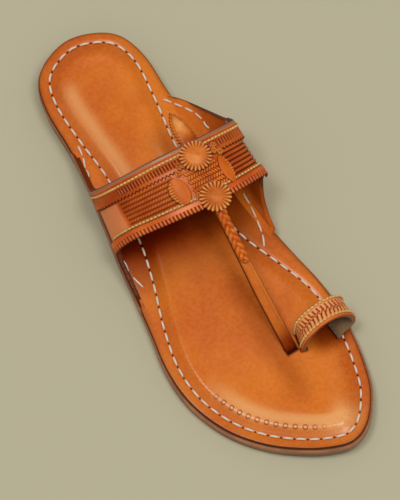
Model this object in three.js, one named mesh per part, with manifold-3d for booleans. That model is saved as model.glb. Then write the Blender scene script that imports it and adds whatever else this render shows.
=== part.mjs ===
// Kolhapuri sandal for the right foot: leather sole on a stacked heel lift, padded footbed, two side
// ears that carry the instep band, a centre strap with a plait and rosettes, and a big-toe loop.
// Millimetres. +Y points to the toe, +X to the outer (lateral) side of the foot, +Z up.
import * as THREE from 'three';
import { mergeVertices } from 'three/addons/utils/BufferGeometryUtils.js';
import Module from 'manifold-3d';

const solids = await Module();
solids.setup();

// Driving dimensions.
const GAP = 0.3;
const OUTSOLE_THICKNESS = 5;
const HEEL_HEIGHT = 6;
const HEEL_LENGTH = 56;
const HEEL_INSET = 0.6;
const ARCH_START = 58;
const ARCH_END = 150;
const SPRING_START = 200;
const SPRING_RISE = 4.5;
const INSOLE_THICKNESS = 2.6;
const INSOLE_INSET = 0.5;
const TOE_LEDGE = 0.8; // outsole left showing round the forefoot, beyond INSOLE_INSET
const PAD_HEIGHT = 1.3;
const PAD_EDGE = 6;
const PAD_SLOPE = 6;
const STRAP_WALL = 2.4;
const CENTRE_STRAP_THICKNESS = 2.4;
const LOOP_THICKNESS = 1.9;
const OVERLAY_THICKNESS = 1.2;
const ROSETTE_RADIUS = 7.5;
const ROSETTE_HEIGHT = 2.2;
const ROSETTE_CROWN = 0.6;
const BRAID_HEIGHT = 2.6;
const MID_Y = 95; // station where the strap table gives its x and its rise
const EAR_START = 50;
const EAR_END = 148;
const EAR_RAMP = 8;
const EAR_HEM = 1.8; // footbed left outside its stitch line between the ears
const BEYOND_SOLE = 70; // clear of the sole on either side, for the solids that cut it
const ABOVE_SOLE = 40;

// Sole in plan: edges at each station, and how far in the footbed's stitch line runs.
const SOLE = [
  { y: 0.7, medial: 0, lateral: 0, sewMedial: 6, sewLateral: 6 },
  { y: 5, medial: -15.2, lateral: 15.2, sewMedial: 6, sewLateral: 6 },
  { y: 14, medial: -25.4, lateral: 24.9, sewMedial: 6.1, sewLateral: 6.1 },
  { y: 30, medial: -29.9, lateral: 29.1, sewMedial: 6.3, sewLateral: 6.3 },
  { y: 52, medial: -29.9, lateral: 29.7, sewMedial: 8.4, sewLateral: 7.2 },
  { y: 74, medial: -31, lateral: 31.8, sewMedial: 13.1, sewLateral: 11 },
  { y: 95, medial: -33, lateral: 35.2, sewMedial: 16.5, sewLateral: 13 },
  { y: 115, medial: -34.4, lateral: 38.8, sewMedial: 17, sewLateral: 14.2 },
  { y: 135, medial: -35.9, lateral: 41.4, sewMedial: 14.4, sewLateral: 11.5 },
  { y: 155, medial: -38.8, lateral: 44.3, sewMedial: 10, sewLateral: 7.7 },
  { y: 175, medial: -42.4, lateral: 47.9, sewMedial: 7, sewLateral: 6.6 },
  { y: 192, medial: -43.7, lateral: 48.1, sewMedial: 6.6, sewLateral: 6.4 },
  { y: 207, medial: -42.6, lateral: 44.8, sewMedial: 6.2, sewLateral: 6.3 },
  { y: 223, medial: -39.6, lateral: 37.4, sewMedial: 6.2, sewLateral: 6.2 },
  { y: 238, medial: -34.8, lateral: 25.2, sewMedial: 6.2, sewLateral: 6.2 },
  { y: 250, medial: -26.8, lateral: 9.8, sewMedial: 6.2, sewLateral: 6.2 },
  { y: 256.3, medial: -19, lateral: -2.4, sewMedial: 6.2, sewLateral: 6.2 },
  { y: 258.4, medial: -11, lateral: -11, sewMedial: 6.2, sewLateral: 6.2 },
];

// Outer face of ears and instep band, from the lateral root over the instep to the medial root.
// x and rise hold at MID_Y; root is the share of the ear's flat root, hold is how far a row follows
// the sole's edge, back and front are the strap's cut edges, drop is the fall from back to front.
const BAND = [
  { x: 35.2, root: 1, rise: 0.3, hold: 1, back: 58.8, front: 139.2, drop: 0 },
  { x: 35.2, root: 0.6, rise: 0.3, hold: 1, back: 56.2, front: 142.4, drop: 0 },
  { x: 34.8, root: 0.25, rise: 0.5, hold: 1, back: 54.6, front: 144.6, drop: 0 },
  { x: 34.4, root: 0, rise: 2, hold: 1, back: 57, front: 141, drop: 0 },
  { x: 35, root: 0, rise: 5.6, hold: 1, back: 69, front: 124, drop: 0 },
  { x: 35.2, root: 0, rise: 10, hold: 0.9, back: 77.5, front: 115.5, drop: 0 },
  { x: 34.2, root: 0, rise: 15.5, hold: 0.75, back: 81.5, front: 114.6, drop: 0.5 },
  { x: 31, root: 0, rise: 22, hold: 0.45, back: 84.5, front: 115.6, drop: 1.5 },
  { x: 25.3, root: 0, rise: 28.4, hold: 0.2, back: 87, front: 117.6, drop: 2.8 },
  { x: 16.4, root: 0, rise: 33.8, hold: 0, back: 89.2, front: 120.4, drop: 4 },
  { x: 4.4, root: 0, rise: 38, hold: 0, back: 91, front: 123, drop: 5 },
  { x: -8.8, root: 0, rise: 40.2, hold: 0, back: 92.6, front: 125, drop: 5.5 },
  { x: -21, root: 0, rise: 40, hold: 0, back: 93.4, front: 125.4, drop: 5.5 },
  { x: -32, root: 0, rise: 37, hold: 0, back: 93, front: 124.6, drop: 5 },
  { x: -40.4, root: 0, rise: 31.5, hold: 0, back: 91.6, front: 123, drop: 4 },
  { x: -44.2, root: 0, rise: 24.5, hold: 0, back: 88.6, front: 121.4, drop: 2.5 },
  { x: -42.6, root: 0, rise: 17.5, hold: 0, back: 81.6, front: 123, drop: 1 },
  { x: -39.6, root: 0, rise: 11.4, hold: 0.05, back: 73, front: 129, drop: 0 },
  { x: -37, root: 0, rise: 6.4, hold: 0.4, back: 65, front: 136, drop: 0 },
  { x: -34.2, root: 0, rise: 2.8, hold: 1, back: 57.4, front: 142, drop: 0 },
  { x: -33, root: 0.3, rise: 0.6, hold: 1, back: 54, front: 144.2, drop: 0 },
  { x: -33, root: 0.65, rise: 0.3, hold: 1, back: 56, front: 142, drop: 0 },
  { x: -33, root: 1, rise: 0.3, hold: 1, back: 58.8, front: 139.2, drop: 0 },
];

// Centre strap, mid-thickness, from inside the band to the slit between the toes.
const CENTRE_STRAP = [
  { x: -14, y: 107, z: 45.4, width: 7.5 },
  { x: -13.9, y: 117, z: 43.8, width: 7.2 },
  { x: -13.5, y: 127, z: 41.6, width: 6 },
  { x: -12.5, y: 140, z: 36.8, width: 5.4 },
  { x: -11.7, y: 155, z: 30.4, width: 5.6 },
  { x: -11.2, y: 170, z: 23.4, width: 6.2 },
  { x: -11, y: 184, z: 16.8, width: 6.4 },
  { x: -10.8, y: 193.6, z: 12.4, width: 6.4 },
  { x: -10.8, y: 198.8, z: 9.2, width: 6.4 },
  { x: -10.8, y: 200.2, z: 5.6, width: 6.4 },
];

// Big-toe loop, mid-thickness, from the slit beside the centre strap, over, and folded in again.
// turn is the angle in degrees of its width, away from the length of the shoe.
const TOE_LOOP = [
  { x: -16.8, y: 199.6, z: 5.6, width: 10.6, turn: -12 },
  { x: -16.8, y: 199.6, z: 9.6, width: 10.6, turn: -12 },
  { x: -17.1, y: 199.2, z: 16.2, width: 11, turn: -7 },
  { x: -19.6, y: 198.4, z: 23.2, width: 11.6, turn: -2 },
  { x: -26, y: 197.8, z: 27.8, width: 11.6, turn: 0 },
  { x: -33.4, y: 197.6, z: 28.4, width: 11.8, turn: 0 },
  { x: -40, y: 197.8, z: 24.4, width: 12.4, turn: 1 },
  { x: -43.6, y: 198.4, z: 17.6, width: 13, turn: 2 },
  { x: -43, y: 199.8, z: 12.2, width: 12, turn: 3 },
  { x: -40, y: 201.4, z: 10.6, width: 10.6, turn: 4 },
  { x: -36.6, y: 202.6, z: 10.8, width: 9.4, turn: 5 },
  { x: -34.6, y: 203.4, z: 9, width: 9, turn: 5 },
  { x: -34, y: 203.6, z: 5.6, width: 9, turn: 5 },
];

// Places on the band: rows of BAND across it, and shares of its width from back to front.
const REAR_STRAP = { from: 5.6, to: 15.6, back: 0.02, front: 0.34 };
const FRONT_EDGE = { from: 5.5, to: 15.4, back: 0.86, front: 1.02 };
const LEAF_LATERAL = { from: 10.1, to: 10.75, back: 0.42, front: 0.83 };
const LEAF_MEDIAL = { from: 12.3, to: 12.8, back: 0.42, front: 0.83 };
const ROSETTES = [
  { name: 'rosette_back', row: 11.62, share: 0.25 },
  { name: 'rosette_front', row: 11.46, share: 0.94 },
];
const TAIL = { row: 11.75, halfWidth: 4.5, length: 19, droop: 5, overlap: 8, taper: 0.93, skive: 0.4 };
const BRAID = { from: 2.42, to: 4.02, width: 5.6, rows: 5 };

const LEATHER = { upper: '#b5622a', footbed: '#c86e2d', sole: '#b88a66', suede: '#8f7a63', gold: '#c9974a' };

// Value of one column of a table at place t, counted in rows, on a uniform Catmull-Rom spline.
function column(rows, name, t) {
  const start = THREE.MathUtils.clamp(Math.floor(t), 0, rows.length - 2);
  const f = t - start;
  const value = (k) => rows[THREE.MathUtils.clamp(k, 0, rows.length - 1)][name];
  const [a, b, c, d] = [value(start - 1), value(start), value(start + 1), value(start + 2)];
  return b + 0.5 * f * (c - a + f * (2 * a - 5 * b + 4 * c - d + f * (3 * (b - c) + d - a)));
}

// A solid between two faces given as grids of points with the same rows and columns.
// A ring grid closes on itself along its rows, and its last column is its centre.
function shell(outer, inner, ring = false) {
  const rows = outer.length;
  const columns = outer[0].length;
  const at = (face, i, j) => (face * rows + (i % rows)) * columns + j;
  const points = [outer, inner].flat(2).flatMap((point) => [point.x, point.y, point.z]);
  const index = [];
  const quad = (a, b, c, d) => index.push(a, b, c, a, c, d);
  for (let i = 0; i < (ring ? rows : rows - 1); i += 1) {
    for (let j = 0; j < columns - 1; j += 1) {
      quad(at(0, i, j), at(0, i + 1, j), at(0, i + 1, j + 1), at(0, i, j + 1));
      quad(at(1, i, j), at(1, i, j + 1), at(1, i + 1, j + 1), at(1, i + 1, j));
    }
    quad(at(1, i, 0), at(1, i + 1, 0), at(0, i + 1, 0), at(0, i, 0));
    if (!ring) {
      const last = columns - 1;
      quad(at(0, i, last), at(0, i + 1, last), at(1, i + 1, last), at(1, i, last));
    }
  }
  for (let j = 0; j < columns - 1 && !ring; j += 1) {
    quad(at(0, 0, j), at(0, 0, j + 1), at(1, 0, j + 1), at(1, 0, j));
    quad(at(1, rows - 1, j), at(1, rows - 1, j + 1), at(0, rows - 1, j + 1), at(0, rows - 1, j));
  }
  const geometry = new THREE.BufferGeometry();
  geometry.setAttribute('position', new THREE.Float32BufferAttribute(points, 3));
  geometry.setIndex(index);
  return faceOut(mergeVertices(geometry, 1e-4));
}

// Drops triangles without area and turns the rest so that they face out.
function faceOut(geometry) {
  const position = geometry.getAttribute('position');
  const [a, b, c] = [new THREE.Vector3(), new THREE.Vector3(), new THREE.Vector3()];
  const index = [];
  let volume = 0;
  for (let k = 0; k < geometry.index.count; k += 3) {
    const [i, j, l] = [geometry.index.getX(k), geometry.index.getX(k + 1), geometry.index.getX(k + 2)];
    if (i !== j && j !== l && l !== i) {
      a.fromBufferAttribute(position, i);
      b.fromBufferAttribute(position, j);
      c.fromBufferAttribute(position, l);
      volume += a.dot(b.cross(c));
      index.push(i, j, l);
    }
  }
  geometry.setIndex(volume > 0 ? index : index.reverse());
  return geometry;
}

function toSolid(geometry) {
  const bare = geometry.clone();
  bare.deleteAttribute('normal');
  bare.deleteAttribute('uv');
  const merged = mergeVertices(bare, 1e-4);
  const mesh = new solids.Mesh({
    numProp: 3,
    vertProperties: new Float32Array(merged.getAttribute('position').array),
    triVerts: new Uint32Array(merged.index.array),
  });
  return new solids.Manifold(mesh);
}

function toGeometry(solid) {
  const mesh = solid.getMesh();
  const geometry = new THREE.BufferGeometry();
  geometry.setAttribute('position', new THREE.BufferAttribute(mesh.vertProperties, 3));
  geometry.setIndex(new THREE.BufferAttribute(mesh.triVerts, 1));
  return geometry;
}

// ---- sole ----

const SECTIONS = 54;
const loopRows = [...SOLE, ...SOLE.slice(1, -1).reverse()];
const isLateral = (k) => k < SOLE.length;
const edgeCurve = new THREE.CatmullRomCurve3(
  loopRows.map((row, k) => new THREE.Vector3(isLateral(k) ? row.lateral : row.medial, row.y, 0)),
  true,
  'catmullrom',
);

// Underside of the outsole: on the heel lift, down through the arch, flat under the ball, up at the toe.
function underside(y) {
  const arch = HEEL_HEIGHT * (1 - THREE.MathUtils.smoothstep(y, ARCH_START, ARCH_END));
  const spring = Math.max(y - SPRING_START, 0) / (SOLE[SOLE.length - 1].y - SPRING_START);
  return arch + SPRING_RISE * spring ** 1.8;
}

const deck = (y) => underside(y) + OUTSOLE_THICKNESS;

// Place in the SOLE table of a station y, and the sole's edge and stitch inset there.
function stationOf(y) {
  let [low, high] = [0, SOLE.length - 1];
  for (let step = 0; step < 24; step += 1) {
    const middle = (low + high) / 2;
    [low, high] = column(SOLE, 'y', middle) < y ? [middle, high] : [low, middle];
  }
  return low;
}

const edgeAt = (y, side) => column(SOLE, side, stationOf(y));
const sewAt = (y, side) => column(SOLE, side === 'medial' ? 'sewMedial' : 'sewLateral', stationOf(y));
const rootWidth = (y, side) => sewAt(y, side) - EAR_HEM;

// Points of the sole's edge, heel tip first, then up the lateral side and down the medial one.
function soleLoop(inset, depth) {
  const count = 2 * SECTIONS;
  return Array.from({ length: count }, (_, k) => {
    const point = edgeCurve.getPoint(k / count);
    const tangent = edgeCurve.getTangent(k / count);
    const move = inset(point.y) + depth;
    return new THREE.Vector3(point.x - tangent.y * move, point.y + tangent.x * move, 0);
  });
}

// A layer of the sole: rings that step in from its edge, and its spine in the middle.
function soleLayer(inset, rings, top, bottom) {
  const loops = rings.map((depth) => soleLoop(inset, depth));
  const last = loops[loops.length - 1];
  const mirrored = (k) => last[(last.length - k) % last.length];
  const spine = last.map((point, k) => point.clone().add(mirrored(k)).divideScalar(2));
  const face = (height) => loops[0].map((_, k) => [...loops, spine].map((loop, r) => {
    return new THREE.Vector3(loop[k].x, loop[k].y, height(loop[k].y, rings[r] ?? rings[rings.length - 1]));
  }));
  return shell(face(top), face(bottom), true);
}

function boxBetween(low, high) {
  const [x, y, z] = high.map((value, k) => value - low[k]);
  const box = new THREE.BoxGeometry(x, y, z);
  return box.translate(low[0] + x / 2, low[1] + y / 2, low[2] + z / 2);
}

function heel() {
  const layer = soleLayer(() => HEEL_INSET, [0, 8], () => HEEL_HEIGHT - GAP, () => 0);
  const back = boxBetween([-BEYOND_SOLE, -BEYOND_SOLE, -1], [BEYOND_SOLE, HEEL_LENGTH, ABOVE_SOLE]);
  return toGeometry(toSolid(layer).intersect(toSolid(back)));
}

function outsole() {
  return soleLayer(() => 0, [0, 8], deck, underside);
}

function padding(depth) {
  return PAD_HEIGHT * THREE.MathUtils.smoothstep(depth, PAD_EDGE, PAD_EDGE + PAD_SLOPE);
}

// Prism over an ear's root, cut out of the footbed.
function rootCutter(side) {
  const sign = side === 'medial' ? -1 : 1;
  const shape = new THREE.Shape();
  const steps = 16;
  shape.moveTo(sign * BEYOND_SOLE, EAR_START);
  shape.lineTo(edgeAt(EAR_START, side), EAR_START);
  for (let k = 0; k <= steps; k += 1) {
    const y = EAR_START + EAR_RAMP + ((EAR_END - EAR_START - 2 * EAR_RAMP) * k) / steps;
    shape.lineTo(edgeAt(y, side) - sign * rootWidth(y, side), y);
  }
  shape.lineTo(edgeAt(EAR_END, side), EAR_END);
  shape.lineTo(sign * BEYOND_SOLE, EAR_END);
  return new THREE.ExtrudeGeometry(shape, { depth: ABOVE_SOLE, bevelEnabled: false });
}

function insole() {
  const layer = soleLayer(
    (y) => INSOLE_INSET + TOE_LEDGE * THREE.MathUtils.smoothstep(y, EAR_END, SPRING_START),
    [0, 4.5, 6.4, 9, 12.4],
    (y, depth) => deck(y) + GAP + INSOLE_THICKNESS + padding(depth),
    (y) => deck(y) + GAP,
  );
  return toGeometry(
    toSolid(layer)
      .subtract(toSolid(rootCutter('lateral')))
      .subtract(toSolid(rootCutter('medial')))
      .subtract(toSolid(ribbon(CENTRE_STRAP, new THREE.Vector3(1, 0, 0), CENTRE_STRAP_THICKNESS, 44, GAP)))
      .subtract(toSolid(ribbon(TOE_LOOP, new THREE.Vector3(0, 1, 0), LOOP_THICKNESS, 48, GAP))),
  );
}

// ---- ears, band and straps ----

// Point of the band's outer face at row t and share of the way from back edge to front edge.
function bandPoint(t, share) {
  const side = t < BAND.length / 2 ? 'lateral' : 'medial';
  const sign = side === 'lateral' ? 1 : -1;
  const y = THREE.MathUtils.lerp(column(BAND, 'back', t), column(BAND, 'front', t), share);
  const hold = THREE.MathUtils.clamp(column(BAND, 'hold', t), 0, 1);
  const root = THREE.MathUtils.clamp(column(BAND, 'root', t), 0, 1);
  const x = column(BAND, 'x', t) + hold * (edgeAt(y, side) - edgeAt(MID_Y, side));
  const rise = column(BAND, 'rise', t) - share * column(BAND, 'drop', t);
  const z = deck(MID_Y) + hold * (deck(y) - deck(MID_Y)) + rise;
  return new THREE.Vector3(x - sign * root * (rootWidth(y, side) - GAP), y, z);
}

// Millimetres that one row of the table spans across the band at a place on it.
function rowLengthAt(row, share) {
  return bandPoint(row + 0.5, share).distanceTo(bandPoint(row - 0.5, share));
}

// The point at row t and share moved out from the band's face by lift, along the face's normal.
function onBand(t, share, lift) {
  const step = 0.01;
  const place = THREE.MathUtils.clamp(t, step, BAND.length - 1 - step);
  const across = bandPoint(place + step, share).sub(bandPoint(place - step, share));
  const along = bandPoint(place, share + step).sub(bandPoint(place, share - step));
  const normal = along.cross(across).normalize();
  return bandPoint(t, share).addScaledVector(normal, lift);
}

// A piece of leather that follows the band, between two heights over its outer face.
function bandPatch(place, low, high, steps, lanes) {
  const face = (lift) => Array.from({ length: steps + 1 }, (_, i) => {
    const t = THREE.MathUtils.lerp(place.from, place.to, i / steps);
    return Array.from({ length: lanes + 1 }, (__, j) => (
      onBand(t, THREE.MathUtils.lerp(place.back, place.front, j / lanes), lift)
    ));
  });
  return shell(face(high), face(low));
}

// A leather disc laid on the band: centre row and share, radius in millimetres.
function bandDisc(place, radius, low, high) {
  const petals = 44;
  const rowLength = rowLengthAt(place.row, place.share);
  const width = bandPoint(place.row, 1).distanceTo(bandPoint(place.row, 0));
  const face = (lift, crown) => Array.from({ length: petals }, (_, i) => {
    const angle = (2 * Math.PI * i) / petals;
    return [1, 0.5, 0].map((r) => onBand(
      place.row + (radius * r * Math.cos(angle)) / rowLength,
      place.share + (radius * r * Math.sin(angle)) / width,
      lift - crown * r * r,
    ));
  });
  return shell(face(high, ROSETTE_CROWN), face(low, 0), true);
}

// A flat strap carried along a table of places; across is the direction of its width.
function ribbon(rows, across, thickness, steps, grow = 0) {
  const place = (t) => new THREE.Vector3(column(rows, 'x', t), column(rows, 'y', t), column(rows, 'z', t));
  const span = rows.length - 1;
  const faces = [1, -1].map((side) => Array.from({ length: steps + 1 }, (_, i) => {
    const t = (span * i) / steps;
    const tangent = place(Math.min(t + 0.01, span)).sub(place(Math.max(t - 0.01, 0))).normalize();
    const turn = THREE.MathUtils.degToRad(rows[0].turn === undefined ? 0 : column(rows, 'turn', t));
    const width = across.clone().applyAxisAngle(new THREE.Vector3(0, 0, 1), turn);
    width.addScaledVector(tangent, -width.dot(tangent)).normalize();
    const normal = tangent.clone().cross(width);
    const end = (i === 0 ? -1 : Number(i === steps)) * grow;
    const centre = place(t).addScaledVector(tangent, end);
    centre.addScaledVector(normal, side * (thickness / 2 + grow));
    const half = column(rows, 'width', t) / 2 + grow;
    return [centre.clone().addScaledVector(width, -half), centre.clone().addScaledVector(width, half)];
  }));
  return shell(faces[0], faces[1]);
}

// The centre strap's pointed end, standing out behind the band and drooping to its tip.
function tail() {
  const steps = 10;
  const rowLength = rowLengthAt(TAIL.row, 0);
  const width = bandPoint(TAIL.row, 1).distanceTo(bandPoint(TAIL.row, 0));
  const face = (lift) => Array.from({ length: steps + 1 }, (_, i) => {
    const reach = THREE.MathUtils.lerp(-TAIL.overlap, TAIL.length, i / steps);
    const out = Math.max(reach, 0) / TAIL.length;
    const half = TAIL.halfWidth * (1 - TAIL.taper * out ** 2);
    return [-half, half].map((side) => {
      const point = onBand(TAIL.row + side / rowLength, -reach / width, lift);
      point.z -= TAIL.droop * out ** 2;
      return point;
    });
  });
  return shell(face(-TAIL.skive), face(TAIL.skive - STRAP_WALL));
}

function upper() {
  const band = bandPatch({ from: 0, to: BAND.length - 1, back: 0, front: 1 }, -STRAP_WALL, 0, 88, 8);
  const strap = ribbon(CENTRE_STRAP, new THREE.Vector3(1, 0, 0), CENTRE_STRAP_THICKNESS, 40);
  return toGeometry(toSolid(band).add(toSolid(strap)).add(toSolid(tail())));
}

// The plait lies on the centre strap from the front rosette to half way down.
function braid() {
  const lift = CENTRE_STRAP_THICKNESS / 2 + GAP + BRAID_HEIGHT / 2;
  const step = 0.05;
  const rows = Array.from({ length: BRAID.rows }, (_, k) => {
    const t = THREE.MathUtils.lerp(BRAID.from, BRAID.to, k / (BRAID.rows - 1));
    const slope = column(CENTRE_STRAP, 'z', t + step) - column(CENTRE_STRAP, 'z', t - step);
    const run = column(CENTRE_STRAP, 'y', t + step) - column(CENTRE_STRAP, 'y', t - step);
    const tilt = Math.atan2(slope, run);
    return {
      x: column(CENTRE_STRAP, 'x', t),
      y: column(CENTRE_STRAP, 'y', t) - lift * Math.sin(tilt),
      z: column(CENTRE_STRAP, 'z', t) + lift * Math.cos(tilt),
      width: BRAID.width,
    };
  });
  return ribbon(rows, new THREE.Vector3(1, 0, 0), BRAID_HEIGHT, 16);
}

function toeLoop() {
  return ribbon(TOE_LOOP, new THREE.Vector3(0, 1, 0), LOOP_THICKNESS, 48);
}

// ---- assembly ----

const sandal = new THREE.Group();

function addPiece(name, geometry, colour, roughness = 0.55) {
  const material = new THREE.MeshStandardMaterial({ color: colour, roughness, metalness: 0 });
  const mesh = new THREE.Mesh(geometry, material);
  mesh.name = name;
  sandal.add(mesh);
}

addPiece('heel', heel(), LEATHER.sole, 0.7);
addPiece('outsole', outsole(), LEATHER.sole, 0.7);
addPiece('insole', insole(), LEATHER.footbed, 0.4);
addPiece('upper', upper(), LEATHER.upper);
addPiece('back_strap', bandPatch(REAR_STRAP, GAP, GAP + OVERLAY_THICKNESS, 48, 2), LEATHER.upper);
addPiece('front_strap', bandPatch(FRONT_EDGE, GAP, GAP + OVERLAY_THICKNESS, 48, 1), LEATHER.upper);
addPiece('leaf_lateral', bandPatch(LEAF_LATERAL, GAP, GAP + OVERLAY_THICKNESS, 6, 6), LEATHER.footbed);
addPiece('leaf_medial', bandPatch(LEAF_MEDIAL, GAP, GAP + OVERLAY_THICKNESS, 6, 6), LEATHER.footbed);
for (const place of ROSETTES) {
  const low = 2 * GAP + OVERLAY_THICKNESS;
  addPiece(place.name, bandDisc(place, ROSETTE_RADIUS, low, low + ROSETTE_HEIGHT), LEATHER.gold);
}
addPiece('braid', braid(), LEATHER.upper);
addPiece('toe_loop', toeLoop(), LEATHER.suede);

const box = new THREE.Box3().setFromObject(sandal);
const centre = box.getCenter(new THREE.Vector3());
sandal.position.set(-centre.x, -centre.y, -box.min.z);

export default sandal;
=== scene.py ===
"""A kolhapuri sandal for the right foot, standing empty on a pale studio floor.

Shapes are worked out in millimetres in the maker's frame: +Y to the toe, +X to the outer (lateral) side
of the foot, +Z up, the floor at zero. in_frame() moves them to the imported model's frame, in metres.
"""

import bmesh
import bpy
import numpy as np
from mathutils import Matrix, Vector


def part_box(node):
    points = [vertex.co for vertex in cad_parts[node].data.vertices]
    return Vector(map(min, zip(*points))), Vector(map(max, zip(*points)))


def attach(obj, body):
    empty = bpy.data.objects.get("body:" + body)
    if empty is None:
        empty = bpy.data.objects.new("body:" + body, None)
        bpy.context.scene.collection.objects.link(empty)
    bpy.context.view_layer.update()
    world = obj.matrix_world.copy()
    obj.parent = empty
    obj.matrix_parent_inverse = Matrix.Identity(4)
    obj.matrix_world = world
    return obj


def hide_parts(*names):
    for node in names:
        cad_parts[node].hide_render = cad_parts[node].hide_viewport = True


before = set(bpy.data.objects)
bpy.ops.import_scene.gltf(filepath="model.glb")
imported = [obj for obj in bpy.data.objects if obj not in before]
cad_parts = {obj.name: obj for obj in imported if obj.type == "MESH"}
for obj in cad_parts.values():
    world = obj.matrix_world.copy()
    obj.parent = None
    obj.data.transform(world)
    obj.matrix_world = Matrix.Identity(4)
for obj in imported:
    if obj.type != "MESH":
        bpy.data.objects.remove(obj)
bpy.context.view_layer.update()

MM = 0.001

# ---- camera ----

CAMERA_PLACE = Vector((0.2892, 0.5486, 1.7797))
CAMERA_AIM = Vector((0.0, 0.004, 0.014))
VIEW_UP = Vector((-0.521, -0.854, 0.0))  # the way along the floor that runs up the view
CAMERA_LENS = 270


def add_camera():
    """The camera looks from its place to its aim, with VIEW_UP upright in the view."""
    data = bpy.data.cameras.new("camera")
    data.lens = CAMERA_LENS
    camera = bpy.data.objects.new("camera", data)
    bpy.context.scene.collection.objects.link(camera)
    back = (CAMERA_PLACE - CAMERA_AIM).normalized()
    right = VIEW_UP.cross(back).normalized()
    turn = Matrix((right, back.cross(right), back)).transposed()
    camera.matrix_world = Matrix.Translation(CAMERA_PLACE) @ turn.to_4x4()
    bpy.context.scene.camera = camera


add_camera()

# ---- driving dimensions, in millimetres ----

GAP = 0.3
OUTSOLE_THICKNESS = 5
HEEL_HEIGHT = 6
HEEL_LENGTH = 56
HEEL_INSET = 0.6
ARCH_START = 58
ARCH_END = 150
SPRING_START = 200
SPRING_RISE = 4.5
TOE_Y = 258.4
FOOTBED_THICKNESS = 2.6
FOOTBED_INSET = 0.5
TOE_LEDGE = 0.8  # outsole left showing round the forefoot, beyond FOOTBED_INSET
PAD_HEIGHT = 1.3
STRAP_WALL = 2.4
ROOT_WALL = 2.2  # where an ear grows out of the footbed's margin
EAR_ROWS = (1.9, 20.3)  # rows of BAND between the places where the two ears leave the footbed
STITCH_LIFT = 0.04
OVERLAY_THICKNESS = 1.2
ROSETTE_RADIUS = 7.5
ROSETTE_LIFT = 1.8
CENTRE_THICKNESS = 2.4
LOOP_THICKNESS = 1.9
STITCH_PITCH = 6.6
MID_Y = 95  # station where the band table gives its x and its rise


def table(names, rows):
    """The columns of a table by name, as arrays."""
    return dict(zip(names.split(), np.array(rows, float).T))


# Sole in plan: edges at each station, and how far in the footbed's stitch line runs.
SOLE = table(
    "y medial lateral sew_medial sew_lateral",
    [
        (0.7, 0, 0, 6, 6),
        (5, -15.2, 15.2, 6, 6),
        (14, -25.4, 24.9, 6.1, 6.1),
        (30, -29.9, 29.1, 6.3, 6.3),
        (52, -29.9, 29.7, 8.4, 7.2),
        (74, -31, 31.8, 13.1, 11),
        (95, -33, 35.2, 16.5, 13),
        (115, -34.4, 38.8, 17, 14.2),
        (135, -35.9, 41.4, 14.4, 11.5),
        (155, -38.8, 44.3, 10, 7.7),
        (175, -42.4, 47.9, 7, 6.6),
        (192, -43.7, 48.1, 6.6, 6.4),
        (207, -42.6, 44.8, 6.2, 6.3),
        (223, -39.6, 37.4, 6.2, 6.2),
        (238, -34.8, 25.2, 6.2, 6.2),
        (250, -26.8, 9.8, 6.2, 6.2),
        (256.3, -19, -2.4, 6.2, 6.2),
        (TOE_Y, -11, -11, 6.2, 6.2),
    ],
)

# Outer face of ears and instep band, from the lateral root over the instep to the medial root.
# x and rise hold at MID_Y; root is the share of the ear's flat root, hold is how far a row follows the
# sole's edge, back and front are the band's cut edges, drop is the fall from back to front.
BAND = table(
    "x root rise hold back front drop",
    [
        (35.2, 1, 0.3, 1, 58.8, 139.2, 0),
        (35.2, 0.6, 0.3, 1, 56.2, 142.4, 0),
        (34.8, 0.25, 0.5, 1, 54.6, 144.6, 0),
        (34.4, 0, 2, 1, 57, 141, 0),
        (35, 0, 5.6, 1, 69, 124, 0),
        (35.2, 0, 10, 0.9, 77.5, 115.5, 0),
        (34.2, 0, 15.5, 0.75, 81.5, 114.6, 0.5),
        (31, 0, 22, 0.45, 84.5, 115.6, 1.5),
        (25.3, 0, 28.4, 0.2, 87, 117.6, 2.8),
        (16.4, 0, 33.8, 0, 89.2, 120.4, 4),
        (4.4, 0, 38, 0, 91, 123, 5),
        (-8.8, 0, 40.2, 0, 92.6, 125, 5.5),
        (-21, 0, 40, 0, 93.4, 125.4, 5.5),
        (-32, 0, 37, 0, 93, 124.6, 5),
        (-40.4, 0, 31.5, 0, 91.6, 123, 4),
        (-44.2, 0, 24.5, 0, 88.6, 121.4, 2.5),
        (-42.6, 0, 17.5, 0, 81.6, 123, 1),
        (-39.6, 0, 11.4, 0.05, 73, 129, 0),
        (-37, 0, 6.4, 0.4, 65, 136, 0),
        (-34.2, 0, 2.8, 1, 57.4, 142, 0),
        (-33, 0.3, 0.6, 1, 54, 144.2, 0),
        (-33, 0.65, 0.3, 1, 56, 142, 0),
        (-33, 1, 0.3, 1, 58.8, 139.2, 0),
    ],
)
LAST_ROW = len(BAND["x"]) - 1

# Centre strap, mid-thickness, from inside the band to the slit between the toes.
CENTRE_STRAP = table(
    "x y z width turn",
    [
        (-14, 107, 45.4, 7.5, 0),
        (-13.9, 117, 43.8, 7.2, 0),
        (-13.5, 127, 41.6, 6, 0),
        (-12.5, 140, 36.8, 5.4, 0),
        (-11.7, 155, 30.4, 5.6, 0),
        (-11.2, 170, 23.4, 6.2, 0),
        (-11, 184, 16.8, 6.4, 0),
        (-10.8, 193.6, 12.4, 6.4, 0),
        (-10.8, 198.8, 9.2, 6.4, 0),
        (-10.8, 200.2, 5.6, 6.4, 0),
    ],
)

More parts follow.
